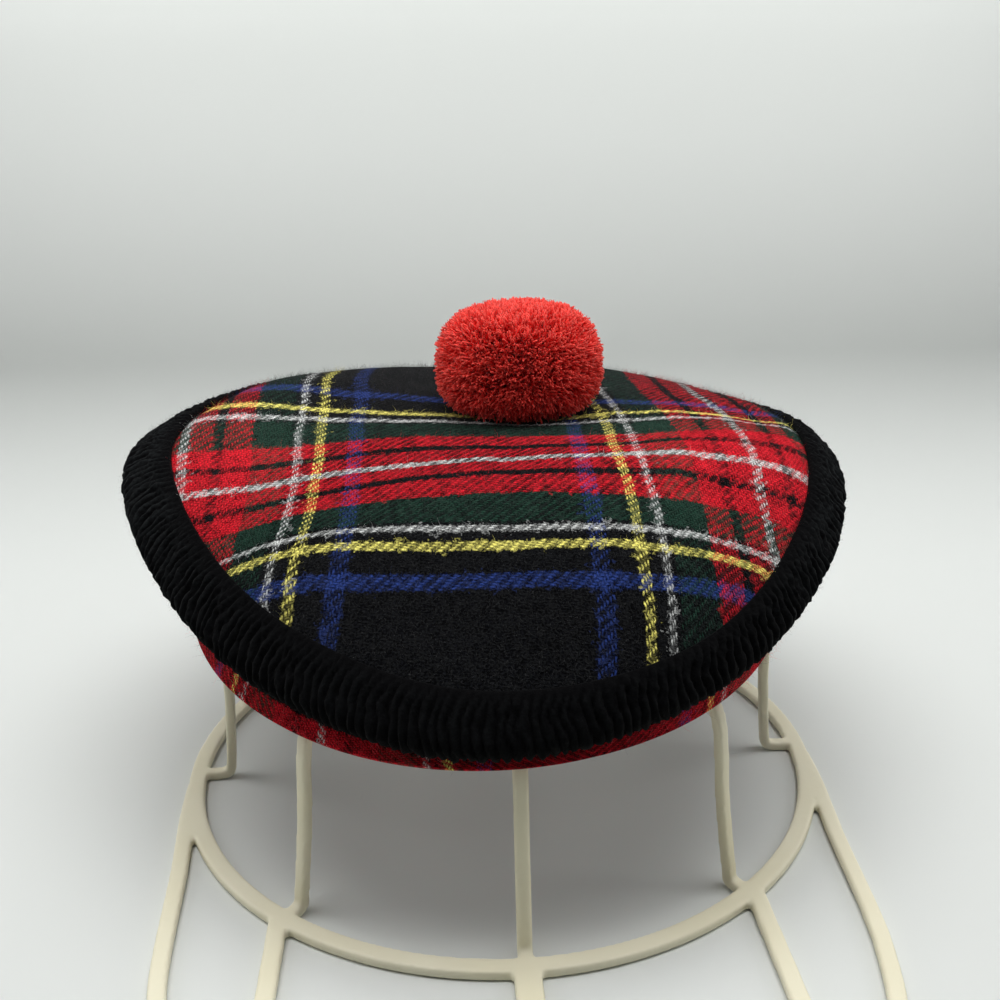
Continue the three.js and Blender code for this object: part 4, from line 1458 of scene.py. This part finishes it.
@dataclass
class Studio:
    """Pale sweep, soft lamps and the camera."""

    lamps: tuple[Softbox, ...] = (
        Softbox("overhead", (0.0, 0.05, 0.76), (0.0, 0.03, 0.0), 0.9, 0.5, 3.0, 112.0),
        Softbox("wall", (0.0, 0.45, 0.6), (0.0, 0.85, 0.37), 1.6, 0.2, 2.4, 88.0),
        Softbox("left", (-0.8, 0.12, 0.45), (0.0, 0.0, 0.0), 0.5, 0.5, 2.3),
        Softbox("right", (0.8, 0.12, 0.45), (0.0, 0.0, 0.0), 0.5, 0.5, 2.3),
    )
    view: View = field(default_factory=View)
    world: float = 0.09
    sweep_back: float = 600.0
    sweep_round: float = 250.0
    sweep_half: float = 4000.0
    sweep_top: float = 1600.0

    def camera(self) -> None:
        """Sets the camera at the photograph's angle."""
        data = bpy.data.cameras.new("camera")
        data.sensor_fit = "HORIZONTAL"
        data.sensor_width = 36.0
        data.lens = self.view.focal / self.view.pixels * data.sensor_width
        data.clip_start, data.clip_end = 0.01, 20.0
        made = bpy.data.objects.new("camera", data)
        bpy.context.scene.collection.objects.link(made)
        right, top, ahead = (Vector(axis) for axis in self.view.axes())
        turn = Matrix((right, top, -ahead)).transposed().to_4x4()
        place = Vector(stand_axis()) + Vector(self.view.eye) * MM
        made.matrix_world = Matrix.Translation(place) @ turn
        bpy.context.scene.camera = made

    def sweep(self, material: bpy.types.Material) -> None:
        """Lays the sweep: a floor that curves up into a wall."""
        below, steps = 0.05, 16
        profile = [(-self.sweep_half, 0.0), (self.sweep_back, 0.0)]
        for i in range(1, steps + 1):
            angle = math.pi / 2 * i / steps
            forward, rise = self.sweep_round * math.sin(angle), self.sweep_round * (1 - math.cos(angle))
            profile.append((self.sweep_back + forward, rise))
        profile.append((self.sweep_back + self.sweep_round, self.sweep_top))
        points = [(x, y, z - below) for y, z in profile for x in (-self.sweep_half, self.sweep_half)]
        faces = [(2 * i, 2 * i + 1, 2 * i + 3, 2 * i + 2) for i in range(len(profile) - 1)]
        made = mesh_object("pale_sweep", np.array(points), faces)
        made.data.materials.append(material)

    def build(self) -> None:
        """Sets up the whole studio."""
        self.camera()
        self.sweep(PalePaper().build("pale paper"))
        for lamp in self.lamps:
            lamp.build()
        world = bpy.data.worlds.new("studio")
        world.use_nodes = True
        inputs = world.node_tree.nodes["Background"].inputs
        inputs["Color"].default_value = (0.97, 0.98, 1.0, 1.0)
        inputs["Strength"].default_value = self.world
        bpy.context.scene.world = world
        bpy.context.scene.view_settings.view_transform = "Standard"


def settle(piece: bpy.types.Object, slot: str, *nodes: str) -> None:
    """Seats a finished piece on the stand's body and hides the parts it stands in for."""
    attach(piece, "root")
    if nodes:
        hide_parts(*nodes)
    log.info("%s: %d faces", piece.name, len(piece.data.polygons))


def main() -> None:
    """Builds the studio, the stand and the hat, in that order."""
    logging.basicConfig(level=logging.INFO, format="%(name)s: %(message)s")
    studio = Studio()
    studio.build()
    hat = Hat()
    stand = Stand()
    hub_low, hub_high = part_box("stand_hub")
    moulding = stand.build(IvoryPlastic().build("ivory plastic"), (hub_low.z + hub_high.z) / 2 / MM)
    bars = [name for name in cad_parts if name.startswith(("stand_", "brim_", "base_"))]
    settle(moulding, "ivory_plastic", *bars)

    tartan = TartanWool().build("tartan wool")
    loose = LooseWool().build("loose tartan wool")
    knit = BlackKnit().build("black knit")
    yarn = CutYarn().build("red yarn")
    fringe = LooseWool(lightness=1.2, bleach=0.12).build("loose underside wool")
    fibre = strand_tree("wool fibres", loose, 2, 2)
    dark_fibre = strand_tree("black fibres", knit, 2, 2)

    crown, skin = hat.crown_cloth(tartan, PulledWeave())
    settle(crown, "crown_wool", "crown_top")
    hair = {"Density": 1.05e6, "Length": 1.7 * MM, "Width": 0.055 * MM, "Lean": 1.5}
    hair.update({"Bend": 0.8, "Uneven": 0.7, "Seed": 4})
    settle(run_tree(skin, fibre, hair, "crown_nap"), "crown_wool")

    under, skin = hat.underside_cloth(tartan)
    settle(under, "underside_wool", "underside")
    hair.update({"Density": 7.5e5, "Length": 2.2 * MM, "Lean": 1.2, "Seed": 9})
    nap = run_tree(skin, strand_tree("fringe fibres", fringe, 2, 2), hair, "underside_nap")
    settle(nap, "underside_wool")

    settle(hat.band(knit), "black_knit", "rim_binding")
    hair.update({"Density": 1.6e6, "Length": 1.6 * MM, "Lean": 1.0, "Seed": 14})
    settle(run_tree(hat.band_skin(), dark_fibre, hair, "binding_nap"), "black_knit")

    ends = {
        "Density": 3.7e6,
        "Length": 7.2 * MM,
        "Width": 0.86 * MM,
        "Tip": 0.7,
        "Lean": 0.62,
        "Bend": 0.4,
        "Uneven": 0.07,
        "Clump": 0.8,
        "Lowest": -0.85,
        "Seed": 21,
    }
    core = hat.pompom_core(7.2, "pompom_blank")
    ball = run_tree(core, strand_tree("yarn ends", yarn, 3, 2), ends, "pompom_yarn")
    hat.kept_above(ball)
    settle(ball, "red_yarn", "pompom")
    ends.update({"Density": 6.0e6, "Length": 5.4 * MM, "Width": 0.34 * MM})
    ends.update({"Lean": 1.1, "Bend": 0.6, "Seed": 33})
    core = hat.pompom_core(5.9, "pompom_blank")
    fluff = run_tree(core, strand_tree("yarn fibres", yarn, 2, 2), ends, "pompom_fluff")
    hat.kept_above(fluff)
    settle(fluff, "red_yarn")
    # The heart has no way along its strands, so it takes the red yarn's root colour: painted shade inside the
    # pompom.
    heart = hat.pompom_core(6.2, "pompom_heart")
    heart.data.materials.append(yarn)
    settle(heart, "red_yarn")


if __name__ == "__main__":
    main()
